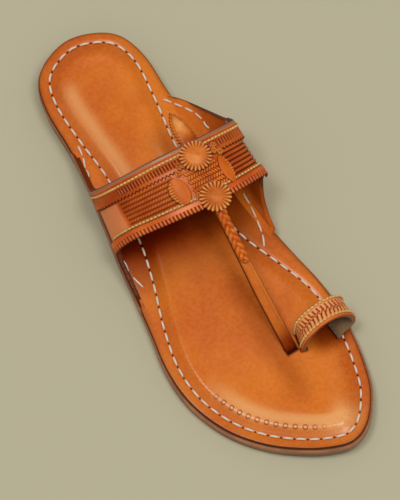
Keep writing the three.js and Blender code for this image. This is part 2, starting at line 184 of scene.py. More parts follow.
# Big-toe loop, mid-thickness, from the slit beside the centre strap, over, and folded in again.
# turn is the angle in degrees of its width, away from the length of the shoe.
TOE_LOOP = table(
    "x y z width turn",
    [
        (-16.8, 199.6, 5.6, 10.6, -12),
        (-16.8, 199.6, 9.6, 10.6, -12),
        (-17.1, 199.2, 16.2, 11, -7),
        (-19.6, 198.4, 23.2, 11.6, -2),
        (-26, 197.8, 27.8, 11.6, 0),
        (-33.4, 197.6, 28.4, 11.8, 0),
        (-40, 197.8, 24.4, 12.4, 1),
        (-43.6, 198.4, 17.6, 13, 2),
        (-43, 199.8, 12.2, 12, 3),
        (-40, 201.4, 10.6, 10.6, 4),
        (-36.6, 202.6, 10.8, 9.4, 5),
        (-34.6, 203.4, 9, 9, 5),
        (-34, 203.6, 5.6, 9, 5),
    ],
)

# Places on the band: rows of BAND across it, and shares of its width from back to front.
REAR_STRAP = {"rows": (5.6, 15.6), "shares": (0.02, 0.34)}
FRONT_STRAP = {"rows": (5.5, 15.4), "shares": (0.86, 1.02)}
LATERAL_GROOVES = (7.9, 10.35)
MEDIAL_GROOVES = (12.75, 15.7)
GROOVE_SHARES = (0.37, 0.81)
GROOVES = 6


# ---- curves and surfaces ----


def smoothstep(x, low, high):
    """3s^2 - 2s^3 of the share s of the way from low to high, held at 0 and 1 outside."""
    s = np.clip((np.asarray(x, float) - low) / (high - low), 0, 1)
    return s * s * (3 - 2 * s)


def window(x, low, high, soft):
    """1 between low and high, falling smoothly to 0 over soft on each side."""
    return smoothstep(x, low - soft, low) * (1 - smoothstep(x, high, high + soft))


def spline(a, b, c, d, f):
    """Uniform Catmull-Rom between b and c at share f."""
    return b + 0.5 * f * (c - a + f * (2 * a - 5 * b + 4 * c - d + f * (3 * (b - c) + d - a)))


def column(rows, name, t):
    """A column of a table at places t, counted in rows, on a Catmull-Rom spline that stops at its ends."""
    values = rows[name]
    last = len(values) - 1
    t = np.asarray(t, float)
    start = np.clip(np.floor(t), 0, last - 1).astype(int)
    around = [values[np.clip(start + k, 0, last)] for k in (-1, 0, 1, 2)]
    return spline(*around, t - start)


def around_sole(low_side, high_side, t):
    """A closed Catmull-Rom through one column up the lateral side and another down the medial side."""
    values = np.concatenate([SOLE[high_side], SOLE[low_side][-2:0:-1]])
    start = np.floor(t).astype(int)
    corners = [values[(start + k) % len(values)] for k in (-1, 0, 1, 2)]
    return spline(*corners, t - start)


def sole_loop(count):
    """Round the sole's edge from the heel tip, up the lateral side: edge points, inward normals, the
    stitch line's inset, the side (1 lateral, -1 medial) and the length run along the stitch line, eased
    so that a whole number of stitches goes round."""
    rows = 2 * len(SOLE["y"]) - 2
    t = np.arange(count) / count * rows
    step = 0.01

    def at(place):
        return np.stack([around_sole("medial", "lateral", place), around_sole("y", "y", place)], -1)

    edge = at(t)
    tangent = at(t + step) - at(t - step)
    tangent /= np.linalg.norm(tangent, axis=1, keepdims=True)
    normal = np.stack([-tangent[:, 1], tangent[:, 0]], -1)
    sew = around_sole("sew_medial", "sew_lateral", t)
    line = edge + normal * sew[:, None]
    steps = np.linalg.norm(np.roll(line, -1, axis=0) - line, axis=1)
    run = np.concatenate([[0], np.cumsum(steps)])
    run *= round(run[-1] / STITCH_PITCH) * STITCH_PITCH / run[-1]
    side = np.where(t < rows / 2, 1, -1)
    return {"edge": edge, "normal": normal, "sew": sew, "side": side, "run": run}


def underside(y):
    """Outsole's underside: on the heel lift, down through the arch, flat under the ball, up at the toe."""
    arch = HEEL_HEIGHT * (1 - smoothstep(y, ARCH_START, ARCH_END))
    spring = np.maximum(y - SPRING_START, 0) / (TOE_Y - SPRING_START)
    return arch + SPRING_RISE * spring**1.8


def deck(y):
    """Top of the outsole."""
    return underside(y) + OUTSOLE_THICKNESS


STATIONS = np.linspace(0, len(SOLE["y"]) - 1, 6001)
STATION_Y = column(SOLE, "y", STATIONS)


def sole_at(name, y):
    """A column of the SOLE table at stations y, found by turning its y column round."""
    return column(SOLE, name, np.interp(y, STATION_Y, STATIONS))


def band_point(t, share):
    """Outer face of ears and band at row t and share of the way from back edge to front edge."""
    t, share = np.broadcast_arrays(np.asarray(t, float), np.asarray(share, float))
    lateral = t < len(BAND["x"]) / 2
    sign = np.where(lateral, 1, -1)
    back = column(BAND, "back", t)
    y = back + share * (column(BAND, "front", t) - back)
    hold = np.clip(column(BAND, "hold", t), 0, 1)
    root = np.clip(column(BAND, "root", t), 0, 1)
    edge = np.where(lateral, sole_at("lateral", y), sole_at("medial", y))
    edge_mid = np.where(lateral, sole_at("lateral", MID_Y), sole_at("medial", MID_Y))
    sew = np.where(lateral, sole_at("sew_lateral", y), sole_at("sew_medial", y))
    x = column(BAND, "x", t) + hold * (edge - edge_mid) - sign * root * (sew - 0.6)
    rise = column(BAND, "rise", t) - share * column(BAND, "drop", t)
    z = deck(MID_Y) + hold * (deck(y) - deck(MID_Y)) + rise
    return np.stack([x, y, z], -1)


def unit(v):
    """Vectors brought to length one."""
    return v / np.maximum(np.linalg.norm(v, axis=-1, keepdims=True), 1e-12)


def on_band(t, share, lift):
    """The same point moved out from the band's face by lift, along the face's normal."""
    t, share, lift = np.broadcast_arrays(*(np.asarray(v, float) for v in (t, share, lift)))
    step = 0.02
    place = np.clip(t, step, LAST_ROW - step)
    across = band_point(place + step, share) - band_point(place - step, share)
    along = band_point(place, share + step) - band_point(place, share - step)
    return band_point(t, share) + unit(np.cross(along, across)) * lift[..., None]


BAND_ROWS = np.linspace(0, LAST_ROW, 2201)
BAND_STEPS = np.linalg.norm(np.diff(band_point(BAND_ROWS, 0.5), axis=0), axis=1)
BAND_LENGTH = np.concatenate([[0], np.cumsum(BAND_STEPS)])


def run_of_row(t):
    """Length along the band's middle, in millimetres, at row t."""
    return np.interp(t, BAND_ROWS, BAND_LENGTH)


def row_of_run(run):
    """Row of the band at a length along its middle."""
    return np.interp(run, BAND_LENGTH, BAND_ROWS)


def even_rows(first, last, step):
    """Rows of the band between two rows, about step millimetres apart."""
    start, stop = run_of_row(first), run_of_row(last)
    return row_of_run(np.linspace(start, stop, max(3, round((stop - start) / step))))


def band_width(t):
    """Distance between the band's two cut edges at row t."""
    return np.linalg.norm(band_point(t, 1.0) - band_point(t, 0.0), axis=-1)


def strap_surface(rows, t, across, lift, base):
    """A flat strap carried along a table of places: t counted in rows, across in millimetres from its
    middle line, lift from its mid-thickness to the outer side. base is the direction of its width."""
    t, across, lift = np.broadcast_arrays(*(np.asarray(v, float) for v in (t, across, lift)))
    last = len(rows["x"]) - 1

    def place(s):
        return np.stack([column(rows, name, s) for name in ("x", "y", "z")], -1)

    tangent = unit(place(np.minimum(t + 0.01, last)) - place(np.maximum(t - 0.01, 0)))
    turn = np.radians(column(rows, "turn", t))
    width = np.stack(
        [
            base[0] * np.cos(turn) - base[1] * np.sin(turn),
            base[0] * np.sin(turn) + base[1] * np.cos(turn),
            np.zeros_like(turn),
        ],
        -1,
    )
    width = unit(width - tangent * np.sum(width * tangent, -1, keepdims=True))
    outward = -np.cross(tangent, width)
    return place(t) + width * across[..., None] + outward * lift[..., None]


def along_rows(rows, first, last, step):
    """Places along a strap table, in rows, about step millimetres apart, and the length run at each."""
    dense = np.linspace(first, last, 1200)
    points = np.stack([column(rows, name, dense) for name in ("x", "y", "z")], -1)
    run = np.concatenate([[0], np.cumsum(np.linalg.norm(np.diff(points, axis=0), axis=1))])
    even = np.linspace(0, run[-1], max(4, round(run[-1] / step)))
    return np.interp(even, run, dense), even


def zigzag(run, pitch):
    """A triangle wave between -1 and 1."""
    return 4 * np.abs(run / pitch % 1 - 0.5) - 1


# ---- meshes ----

LOOP = sole_loop(760)
LOW_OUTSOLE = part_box("outsole")[0]
SHIFT = np.array(
    [
        LOW_OUTSOLE.x / MM - LOOP["edge"][:, 0].min(),
        LOW_OUTSOLE.y / MM - LOOP["edge"][:, 1].min(),
        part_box("heel")[0].z / MM,
    ]
)


def in_frame(points):
    """Millimetres in the maker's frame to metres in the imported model's frame."""
    return (points + SHIFT) * MM


def finish_mesh(name, points, faces, corner_uv, face_material, materials, replaced, marks, sharp):
    """Puts arrays into a mesh: points (n, 3), faces (m, 4), a UV for each corner in millimetres, a
    material number for each face and named values for each point. Doubles are merged, faces without
    area go, and the rest face out."""
    p = points[faces]
    halves = np.cross(p[:, 1] - p[:, 0], p[:, 2] - p[:, 0]) + np.cross(p[:, 2] - p[:, 0], p[:, 3] - p[:, 0])
    if np.sum(p[:, 0] * halves) < 0:
        faces = faces[:, ::-1]
        corner_uv = corner_uv[:, ::-1]
    mesh = bpy.data.meshes.new(name)
    mesh.vertices.add(len(points))
    mesh.vertices.foreach_set("co", in_frame(points).astype(np.float32).ravel())
    mesh.loops.add(faces.size)
    mesh.loops.foreach_set("vertex_index", np.ascontiguousarray(faces, np.int32).ravel())
    mesh.polygons.add(len(faces))
    mesh.polygons.foreach_set("loop_start", np.arange(0, faces.size, 4, dtype=np.int32))
    for material in materials:
        mesh.materials.append(material)
    mesh.polygons.foreach_set("material_index", face_material.astype(np.int32))
    layer = mesh.uv_layers.new(name="run")
    layer.data.foreach_set("uv", np.ascontiguousarray(corner_uv, np.float32).ravel())
    for mark, values in marks.items():
        attribute = mesh.attributes.new(mark, "FLOAT", "POINT")
        attribute.data.foreach_set("value", np.ascontiguousarray(values, np.float32).ravel())
    mesh.update(calc_edges=True)
    clean = bmesh.new()
    clean.from_mesh(mesh)
    bmesh.ops.remove_doubles(clean, verts=clean.verts, dist=1e-7)
    bmesh.ops.dissolve_degenerate(clean, dist=1e-8, edges=clean.edges)
    clean.to_mesh(mesh)
    clean.free()
    mesh.validate()
    mesh.shade_smooth()
    mesh.set_sharp_from_angle(angle=np.radians(sharp))
    piece = bpy.data.objects.new(name, mesh)
    bpy.context.scene.collection.objects.link(piece)
    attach(piece, "root")
    if replaced:
        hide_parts(*replaced)
    return piece


BOTH_SIDES = ("edge", "shade")  # marks that a sheet's underside takes as well


def sheet(name, top, bottom, uv, materials, replaced=(), ring=False, marks=None, under=None, sides=None,
          sharp=50):
    """A closed body between two grids of points (rows, lanes, 3). Quads join neighbours on the top, on
    the bottom and round the edge. A ring joins its last row to its first, and its last lane is its
    centre. materials are for the top, the cut edge and the bottom; under gives a material number for
    each row of the bottom, and sides one for each row of the edge."""
    rows, lanes = top.shape[:2]
    count = rows if ring else rows - 1
    i, j = np.meshgrid(np.arange(count), np.arange(lanes - 1), indexing="ij")
    i, j = i.ravel(), j.ravel()
    row_corners = np.stack([i, i + 1, i + 1, i], -1)
    lane_corners = np.stack([j, j, j + 1, j + 1], -1)
    parts = [(np.zeros_like(row_corners), row_corners, lane_corners, np.zeros(len(i)))]
    below = np.full(len(i), 2) if under is None else under[i]
    parts.append((np.ones_like(row_corners), row_corners[:, ::-1], lane_corners[:, ::-1], below))
    k = np.arange(count)
    sides = np.ones((2, count)) if sides is None else sides

    def rim(face, row, lane, number):
        shape = (len(row), 4)
        cells = [np.broadcast_to(np.asarray(v), shape) for v in (face, row, lane)]
        parts.append((*cells, number))

    pair = np.stack([k, k, k + 1, k + 1], -1)
    rim([0, 1, 1, 0], pair, [0, 0, 0, 0], sides[0])
    if not ring:
        rim([1, 0, 0, 1], pair, [lanes - 1] * 4, sides[1])
        m = np.arange(lanes - 1)
        pair = np.stack([m, m, m + 1, m + 1], -1)
        parts.append((np.broadcast_to([1, 0, 0, 1], pair.shape), np.zeros_like(pair), pair, np.ones(len(m))))
        end = np.full_like(pair, rows - 1)
        parts.append((np.broadcast_to([0, 1, 1, 0], pair.shape), end, pair, np.ones(len(m))))
    face = np.concatenate([p[0] for p in parts])
    row = np.concatenate([p[1] for p in parts])
    lane = np.concatenate([p[2] for p in parts])
    number = np.concatenate([p[3] for p in parts])
    vertex = (face * rows + row % rows) * lanes + lane
    corner_uv = uv[row, lane].astype(float)
    depth = np.linalg.norm(top - bottom, axis=-1)[row % rows, lane]
    corner_uv[..., 1] += np.where((number == 1)[:, None], face * depth, 0)
    points = np.concatenate([top.reshape(-1, 3), bottom.reshape(-1, 3)])
    values = {}
    for mark, grid in (marks or {}).items():
        grid = np.broadcast_to(grid, (rows, lanes))
        below = grid if mark in BOTH_SIDES else np.zeros_like(grid)
        values[mark] = np.concatenate([grid.ravel(), below.ravel()])
    return finish_mesh(name, points, vertex, corner_uv, number, materials, replaced, values, sharp)


def cords(name, paths, up, wide, high, sides, material, replaced=(), lobes=0, twist=0, sharp=60):
    """Round or flat cords: an ellipse with half axes wide and high carried along each path of paths
    (cords, places, 3), high along up. lobes and twist (lobes round it, turns in each millimetre) give a
    laid cord its strands. Ends taper to a point, so that each cord is closed. Its lower half is marked
    dark as painted shade."""
    cord_count, places = paths.shape[:2]
    tangent = unit(np.gradient(paths, axis=1))
    side = unit(np.cross(tangent, np.broadcast_to(up, paths.shape)))
    rise = np.cross(side, tangent)
    steps = np.linalg.norm(np.diff(paths, axis=1), axis=-1)
    run = np.concatenate([np.zeros((cord_count, 1)), np.cumsum(steps, axis=1)], axis=1)
    angle = np.arange(sides) / sides * 2 * np.pi
    wide = np.broadcast_to(wide, (cord_count, places)).copy()
    high = np.broadcast_to(high, (cord_count, places)).copy()
    for half in (wide, high):
        half[:, 0] = 0
        half[:, -1] = 0
    fuller = 1 + (0.16 * np.cos(lobes * angle + 2 * np.pi * twist * run[..., None]) if lobes else 0)
    ring = side[:, :, None] * (wide[..., None] * np.cos(angle) * fuller)[..., None]
    ring = ring + rise[:, :, None] * (high[..., None] * np.sin(angle) * fuller)[..., None]
    points = (paths[:, :, None] + ring).reshape(-1, 3)
    c, p, s = (v.ravel() for v in np.meshgrid(
        np.arange(cord_count), np.arange(places - 1), np.arange(sides), indexing="ij"))
    along = np.stack([p, p + 1, p + 1, p], -1)
    round_it = np.stack([s, s, s + 1, s + 1], -1)
    faces = (c[:, None] * places + along) * sides + round_it % sides
    girth = wide.max() + high.max()
    corner_uv = np.stack([run[c[:, None], along] + c[:, None] * 3.7, round_it / sides * girth * 3], -1)
    number = np.zeros(len(faces))
    # painted shade: the lower half of each cord marked dark
    low = np.broadcast_to(0.9 * smoothstep(-np.sin(angle), -0.45, 0.4), (cord_count, places, sides))
    marks = {"tooling_and_shade": low}
    return finish_mesh(name, points, faces, corner_uv, number, [material], replaced, marks, sharp)


# ---- materials ----


def tint(red, green, blue):
    """A colour from its 0 to 255 display values, as linear light."""
    share = np.array([red, green, blue]) / 255
    linear = np.where(share <= 0.04045, share / 12.92, ((share + 0.055) / 1.055) ** 2.4)
    return (*linear.tolist(), 1.0)


def add_node(tree, kind, inputs=None, **settings):
    """A node with its settings, and its inputs given as values or as sockets to link."""
    made = tree.nodes.new(kind)
    for key, value in settings.items():
        setattr(made, key, value)
    for key, value in (inputs or {}).items():
        if isinstance(value, bpy.types.NodeSocket):
            tree.links.new(value, made.inputs[key])
        else:
            made.inputs[key].default_value = value
    return made


def maths(tree, operation, a, b=0.0, c=0.0, clamp=False):
    """One Math node's result."""
    made = add_node(tree, "ShaderNodeMath", {0: a, 1: b, 2: c}, operation=operation, use_clamp=clamp)
    return made.outputs[0]


def remap(tree, value, low, high, to_low=0.0, to_high=1.0):
    """Smooth step of a value from one range to another."""
    inputs = {"Value": value, "From Min": low, "From Max": high, "To Min": to_low, "To Max": to_high}
    made = add_node(tree, "ShaderNodeMapRange", inputs, interpolation_type="SMOOTHSTEP")
    return made.outputs["Result"]


def mix_colour(tree, share, a, b, blend="MIX"):
    """Two colours mixed by a share."""
    made = add_node(tree, "ShaderNodeMix", data_type="RGBA", blend_type=blend, clamp_factor=True)
    for key, value in (("Factor_Float", share), ("A_Color", a), ("B_Color", b)):
        socket = next(s for s in made.inputs if s.identifier == key)
        if isinstance(value, bpy.types.NodeSocket):
            tree.links.new(value, socket)
        else:
            socket.default_value = value
    return next(s for s in made.outputs if s.identifier == "Result_Color")


def new_group(name, inputs, outputs):
    """An empty shader node group with named sockets, and its input and output nodes."""
    group = bpy.data.node_groups.new(name, "ShaderNodeTree")
    for label, kind, value in inputs:
        socket = group.interface.new_socket(label, in_out="INPUT", socket_type=kind)
        if value is not None:
            socket.default_value = value
    for label, kind in outputs:
        group.interface.new_socket(label, in_out="OUTPUT", socket_type=kind)
    return group, group.nodes.new("NodeGroupInput"), group.nodes.new("NodeGroupOutput")


FLOAT, VECTOR = "NodeSocketFloat", "NodeSocketVector"


def make_hide_group():
    """Hide: fine pores and wrinkles as a height, and slow patches of deeper dye as a tone."""
    group, given, result = new_group(
        "hide",
        [("Pore Scale", FLOAT, 1400.0), ("Patch Scale", FLOAT, 28.0), ("Wrinkle", FLOAT, 0.5)],
        [("Height", FLOAT), ("Tone", FLOAT), ("Speckle", FLOAT)],
    )
    place = add_node(group, "ShaderNodeTexCoord").outputs["Object"]
    pores = add_node(group, "ShaderNodeTexVoronoi", {"Vector": place, "Scale": given.outputs["Pore Scale"]})
    pebble = remap(group, pores.outputs["Distance"], 0.05, 0.6)
    fine_scale = maths(group, "MULTIPLY", given.outputs["Pore Scale"], 0.35)
    fine = add_node(group, "ShaderNodeTexNoise", {"Vector": place, "Scale": fine_scale, "Detail": 5.0})
    crease_scale = maths(group, "MULTIPLY", given.outputs["Patch Scale"], 6.0)
    crease = add_node(
        group, "ShaderNodeTexNoise",
        {"Vector": place, "Scale": crease_scale, "Detail": 4.0, "Distortion": 0.8}
    )
    lines = maths(group, "ABSOLUTE", maths(group, "SUBTRACT", crease.outputs["Fac"], 0.5))
    folds = maths(group, "MULTIPLY", remap(group, lines, 0.0, 0.05), given.outputs["Wrinkle"])
    height = maths(group, "MULTIPLY_ADD", pebble, 0.35, maths(group, "MULTIPLY", fine.outputs["Fac"], 0.6))
    height = maths(group, "MULTIPLY_ADD", folds, 0.25, height)
    patch = add_node(
        group, "ShaderNodeTexNoise", {"Vector": place, "Scale": given.outputs["Patch Scale"], "Detail": 6.0}
    )
    group.links.new(height, result.inputs["Height"])
    group.links.new(remap(group, patch.outputs["Fac"], 0.3, 0.7), result.inputs["Tone"])
    group.links.new(remap(group, fine.outputs["Fac"], 0.35, 0.65), result.inputs["Speckle"])
    return group


def make_punched_row_group():
    """Round marks in a row: a disc mask and a ring mask at every pitch along u, at a given v."""
    group, given, result = new_group(
        "punched_row",
        [
            ("Run", VECTOR, None),
            ("Pitch", FLOAT, STITCH_PITCH),
            ("Shift", FLOAT, 0.0),
            ("Line", FLOAT, 0.0),
            ("Radius", FLOAT, 0.7),
            ("Ring", FLOAT, 0.3),
        ],
        [("Disc", FLOAT), ("Ring", FLOAT)],
    )
    split = add_node(group, "ShaderNodeSeparateXYZ", {0: given.outputs["Run"]})
    along = maths(group, "ADD", split.outputs["X"], given.outputs["Shift"])
    share = maths(group, "FRACT", maths(group, "DIVIDE", along, given.outputs["Pitch"]))
    du = maths(group, "MULTIPLY", maths(group, "SUBTRACT", share, 0.5), given.outputs["Pitch"])
    dv = maths(group, "SUBTRACT", split.outputs["Y"], given.outputs["Line"])
    far = maths(group, "SQRT", maths(group, "MULTIPLY_ADD", du, du, maths(group, "MULTIPLY", dv, dv)))
    inner = maths(group, "MULTIPLY", given.outputs["Radius"], 0.6)
    disc = maths(group, "SUBTRACT", 1.0, remap(group, far, inner, given.outputs["Radius"]))
    off = maths(group, "ABSOLUTE", maths(group, "SUBTRACT", far, given.outputs["Radius"]))
    ring = maths(group, "SUBTRACT", 1.0, remap(group, off, 0.0, given.outputs["Ring"]))
    group.links.new(disc, result.inputs["Disc"])
    group.links.new(ring, result.inputs["Ring"])
    return group


def make_twist_group():
    """Twisted yarn: slanting strands along u and round v as a height."""
    group, given, result = new_group(
        "twist",
        [("Run", VECTOR, None), ("Pitch", FLOAT, 1.0), ("Slant", FLOAT, 0.7)],
        [("Height", FLOAT)],
    )
    split = add_node(group, "ShaderNodeSeparateXYZ", {0: given.outputs["Run"]})
    along = maths(group, "MULTIPLY_ADD", split.outputs["Y"], given.outputs["Slant"], split.outputs["X"])
    turns = maths(group, "MULTIPLY", maths(group, "DIVIDE", along, given.outputs["Pitch"]), 2 * np.pi)
    height = maths(group, "ABSOLUTE", maths(group, "SINE", turns))
    group.links.new(height, result.inputs["Height"])
    return group


def make_layers_group():
    """Stacked leather seen at a cut edge: fine bands by height, broken by noise along the edge."""
    group, given, result = new_group(
        "stacked_layers",
        [("Layer", FLOAT, 1.3), ("Roughen", FLOAT, 0.6)],
        [("Height", FLOAT), ("Tone", FLOAT)],
    )
    place = add_node(group, "ShaderNodeTexCoord").outputs["Object"]
    split = add_node(group, "ShaderNodeSeparateXYZ", {0: place})
    long_grain = add_node(
        group, "ShaderNodeMapping", {"Vector": place, "Scale": (60.0, 60.0, 900.0)}
    ).outputs["Vector"]
    noise = add_node(group, "ShaderNodeTexNoise", {"Vector": long_grain, "Scale": 1.0, "Detail": 4.0})
    level = maths(group, "MULTIPLY", split.outputs["Z"], 1000.0)
    wobble = maths(group, "MULTIPLY_ADD", noise.outputs["Fac"], given.outputs["Roughen"], level)
    share = maths(group, "FRACT", maths(group, "DIVIDE", wobble, given.outputs["Layer"]))
    band = maths(group, "ABSOLUTE", maths(group, "SUBTRACT", share, 0.5))
    group.links.new(remap(group, band, 0.5, 0.36), result.inputs["Height"])
    tone = maths(group, "MULTIPLY_ADD", remap(group, band, 0.5, 0.3), 0.6, noise.outputs["Fac"])
    group.links.new(maths(group, "MULTIPLY", tone, 0.8), result.inputs["Tone"])
    return group


def make_slit_group():
    """A slit cut in the leather: a mask of an oblong with soft sides, by its middle, half sizes and turn."""
    group, given, result = new_group(
        "slit",
        [("Middle", VECTOR, None), ("Turn", FLOAT, 0.0), ("Half X", FLOAT, 0.002), ("Half Y", FLOAT, 0.002)],
        [("Mask", FLOAT)],
    )
    place = add_node(group, "ShaderNodeTexCoord").outputs["Object"]
    shifted = add_node(
        group, "ShaderNodeVectorMath", {0: place, 1: given.outputs["Middle"]}, operation="SUBTRACT"
    ).outputs["Vector"]
    turned = add_node(
        group, "ShaderNodeVectorRotate", {"Vector": shifted, "Angle": given.outputs["Turn"]},
        rotation_type="Z_AXIS"
    ).outputs["Vector"]
    split = add_node(group, "ShaderNodeSeparateXYZ", {0: turned})
    masks = []
    for axis, half in (("X", "Half X"), ("Y", "Half Y")):
        over = maths(group, "SUBTRACT", maths(group, "ABSOLUTE", split.outputs[axis]), given.outputs[half])
        masks.append(maths(group, "SUBTRACT", 1.0, remap(group, over, -0.0006, 0.0008)))
    group.links.new(maths(group, "MULTIPLY", *masks), result.inputs["Mask"])
    return group


HIDE = make_hide_group()
SLIT = make_slit_group()
PUNCHED_ROW = make_punched_row_group()
TWIST = make_twist_group()
LAYERS = make_layers_group()


def start_material(name):
    """A new material with its Principled shader."""
    material = bpy.data.materials.new(name)
    material.use_nodes = True
    return material, material.node_tree, material.node_tree.nodes["Principled BSDF"]


def place_group(tree, group, inputs=None):
    """One of the shared groups placed in a material."""
    made = add_node(tree, "ShaderNodeGroup", node_tree=group)
    for key, value in (inputs or {}).items():
        if isinstance(value, bpy.types.NodeSocket):
            tree.links.new(value, made.inputs[key])
        else:
            made.inputs[key].default_value = value
    return made


def set_surface(tree, shader, colour, roughness, height, depth, constants):
    """Links colour, roughness and a bump of the given depth in metres to a material's shader."""
    tree.links.new(colour, shader.inputs["Base Color"])
    if isinstance(roughness, bpy.types.NodeSocket):
        tree.links.new(roughness, shader.inputs["Roughness"])
    else:
        shader.inputs["Roughness"].default_value = roughness
    bump = add_node(tree, "ShaderNodeBump", {"Height": height, "Distance": depth, "Strength": 1.0})
    tree.links.new(bump.outputs["Normal"], shader.inputs["Normal"])
    for key, value in constants.items():
        shader.inputs[key].default_value = value


# dark umber mixed in as painted shade
SHADE_UMBER = tint(110, 28, 2)
RAW_LEATHER = tint(146, 104, 82)


def leather(name, base, deep, pale, rough=0.42, pore=1500.0, patch=26.0, wrinkle=0.5, grain=0.00012,
            sewn=None, stamps=False, slits=(), coat=0.25, tooled=(60, 20, 6)):
    """Dyed leather: patches between base and deep, pale where the wear mark is high (real wear, and painted
    highlight), painted shade in dark umber where the shade mark is, bare where raw is, and dark where the
    tool mark is (dye in the tooling, and painted shade) and at cut edges (mark edge). It may have holes
    along a sewn line, ring stamps and slits, with painted shade darkening the holes and slits."""
    material, tree, shader = start_material(name)
    hide = place_group(tree, HIDE, {"Pore Scale": pore, "Patch Scale": patch, "Wrinkle": wrinkle})
    run = add_node(tree, "ShaderNodeUVMap", uv_map="run").outputs["UV"]
    colour = mix_colour(tree, hide.outputs["Tone"], tint(*base), tint(*deep))
    speckle = maths(tree, "MULTIPLY", hide.outputs["Speckle"], 0.07)
    colour = mix_colour(tree, speckle, colour, tint(*pale))
    marks = {key: add_node(tree, "ShaderNodeAttribute", attribute_name=key).outputs["Fac"]
             for key in ("tooling_and_shade", "edge", "wear_and_highlight", "shade", "raw")}
    colour = mix_colour(tree, maths(tree, "MULTIPLY", marks["wear_and_highlight"], 0.75), colour, tint(*pale))
    uneven = maths(tree, "MULTIPLY_ADD", hide.outputs["Tone"], 0.3, 0.8)
    colour = mix_colour(tree, maths(tree, "MULTIPLY", marks["shade"], uneven, clamp=True), colour, SHADE_UMBER)
    colour = mix_colour(tree, marks["raw"], colour, RAW_LEATHER)
    height = hide.outputs["Height"]
    dark = maths(tree, "MAXIMUM", maths(tree, "MULTIPLY", marks["tooling_and_shade"], 0.95),
                 maths(tree, "MULTIPLY", marks["edge"], 0.9), clamp=True)
    # painted shade: each slit darkened as the shade inside it
    for slit in slits:
        cut = place_group(tree, SLIT, slit)
        dark = maths(tree, "MAXIMUM", dark, cut.outputs["Mask"])
        height = maths(tree, "MULTIPLY_ADD", cut.outputs["Mask"], -6.0, height)
    if sewn:
        # painted shade: the stitch holes darkened as the shade inside them
        holes = place_group(tree, PUNCHED_ROW, {"Run": run, "Pitch": sewn, "Radius": 0.62})
        dark = maths(tree, "MAXIMUM", dark, maths(tree, "MULTIPLY", holes.outputs["Disc"], 0.85))
        height = maths(tree, "MULTIPLY_ADD", holes.outputs["Disc"], -4.0, height)
    if stamps:
        rings = place_group(tree, PUNCHED_ROW, {
            "Run": run, "Pitch": 5.2, "Shift": 2.0, "Line": 5.9, "Radius": 1.2, "Ring": 0.5})
        fade = add_node(tree, "ShaderNodeAttribute", attribute_name="stamp").outputs["Fac"]
        ring = maths(tree, "MULTIPLY", rings.outputs["Ring"], fade)
        dark = maths(tree, "MAXIMUM", dark, maths(tree, "MULTIPLY", ring, 0.6))
        height = maths(tree, "MULTIPLY_ADD", ring, -2.0, height)
    colour = mix_colour(tree, dark, colour, tint(*tooled))
    roughness = maths(tree, "MULTIPLY_ADD", hide.outputs["Speckle"], 0.12, rough - 0.06)
    roughness = maths(tree, "MULTIPLY_ADD", dark, 0.2, roughness, clamp=True)
    set_surface(tree, shader, colour, roughness, height, grain,
                {"Coat Roughness": 0.2, "Specular Tint": tint(255, 196, 130)})
    dull = maths(tree, "MAXIMUM", dark, marks["shade"], clamp=True)
    for socket, full in (("Coat Weight", coat), ("Specular IOR Level", 0.28)):
        tree.links.new(maths(tree, "MULTIPLY_ADD", dull, -full, full, clamp=True), shader.inputs[socket])
    return material


def cut_edge(name, base, deep, layer=1.1, rough=0.7):
    """Cut leather edge: stacked layers and loose fibre."""
    material, tree, shader = start_material(name)
    layers = place_group(tree, LAYERS, {"Layer": layer})
    hide = place_group(tree, HIDE, {"Pore Scale": 1800.0, "Patch Scale": 70.0})
    colour = mix_colour(tree, layers.outputs["Tone"], tint(*deep), tint(*base))
    colour = mix_colour(tree, maths(tree, "MULTIPLY", hide.outputs["Tone"], 0.4), colour, tint(*deep))
    height = maths(tree, "MULTIPLY_ADD", layers.outputs["Height"], 1.2, hide.outputs["Height"])
    set_surface(tree, shader, colour, rough, height, 0.00016, {"Specular IOR Level": 0.3})
    return material


def suede(name, base, deep):
    """Flesh side of the leather: short nap with brushed patches and a little sheen."""
    material, tree, shader = start_material(name)
    hide = place_group(tree, HIDE, {"Pore Scale": 2600.0, "Patch Scale": 90.0, "Wrinkle": 0.2})
    colour = mix_colour(tree, hide.outputs["Tone"], tint(*base), tint(*deep))
    colour = mix_colour(tree, maths(tree, "MULTIPLY", hide.outputs["Speckle"], 0.35), colour, tint(*deep))
    set_surface(tree, shader, colour, 0.9, hide.outputs["Height"], 0.00025,
                {"Sheen Weight": 0.35, "Sheen Roughness": 0.5, "Specular IOR Level": 0.2})
    return material


def thread(name, base, deep, pitch, rough, underside_shade=0.0):
    """Twisted thread or cord, darkened towards its underside with painted shade."""
    material, tree, shader = start_material(name)
    run = add_node(tree, "ShaderNodeUVMap", uv_map="run").outputs["UV"]
    twist = place_group(tree, TWIST, {"Run": run, "Pitch": pitch})
    hide = place_group(tree, HIDE, {"Pore Scale": 3000.0, "Patch Scale": 160.0})
    share = maths(tree, "MULTIPLY", twist.outputs["Height"], 0.75, clamp=True)
    colour = mix_colour(tree, share, tint(*deep), tint(*base))
    colour = mix_colour(tree, maths(tree, "MULTIPLY", hide.outputs["Tone"], 0.3), colour, tint(*deep))
    # painted shade: darker towards the underside, where the tool mark is high
    low = add_node(tree, "ShaderNodeAttribute", attribute_name="tooling_and_shade").outputs["Fac"]
    colour = mix_colour(tree, maths(tree, "MULTIPLY", low, underside_shade), colour, SHADE_UMBER)
    set_surface(tree, shader, colour, rough, twist.outputs["Height"], 0.00018, {"Specular IOR Level": 0.4})
    return material


def slit_round(rows, half_x, half_y):
    """Where a strap's last row goes down through the footbed, as inputs for the slit group."""
    x, y = rows["x"][-1], rows["y"][-1]
    middle = tuple(in_frame(np.array([x, y, 0.0])).tolist())
    turn = float(-np.radians(rows["turn"][-1]))
    return {"Middle": (middle[0], middle[1], 0.0), "Turn": turn, "Half X": half_x * MM, "Half Y": half_y * MM}


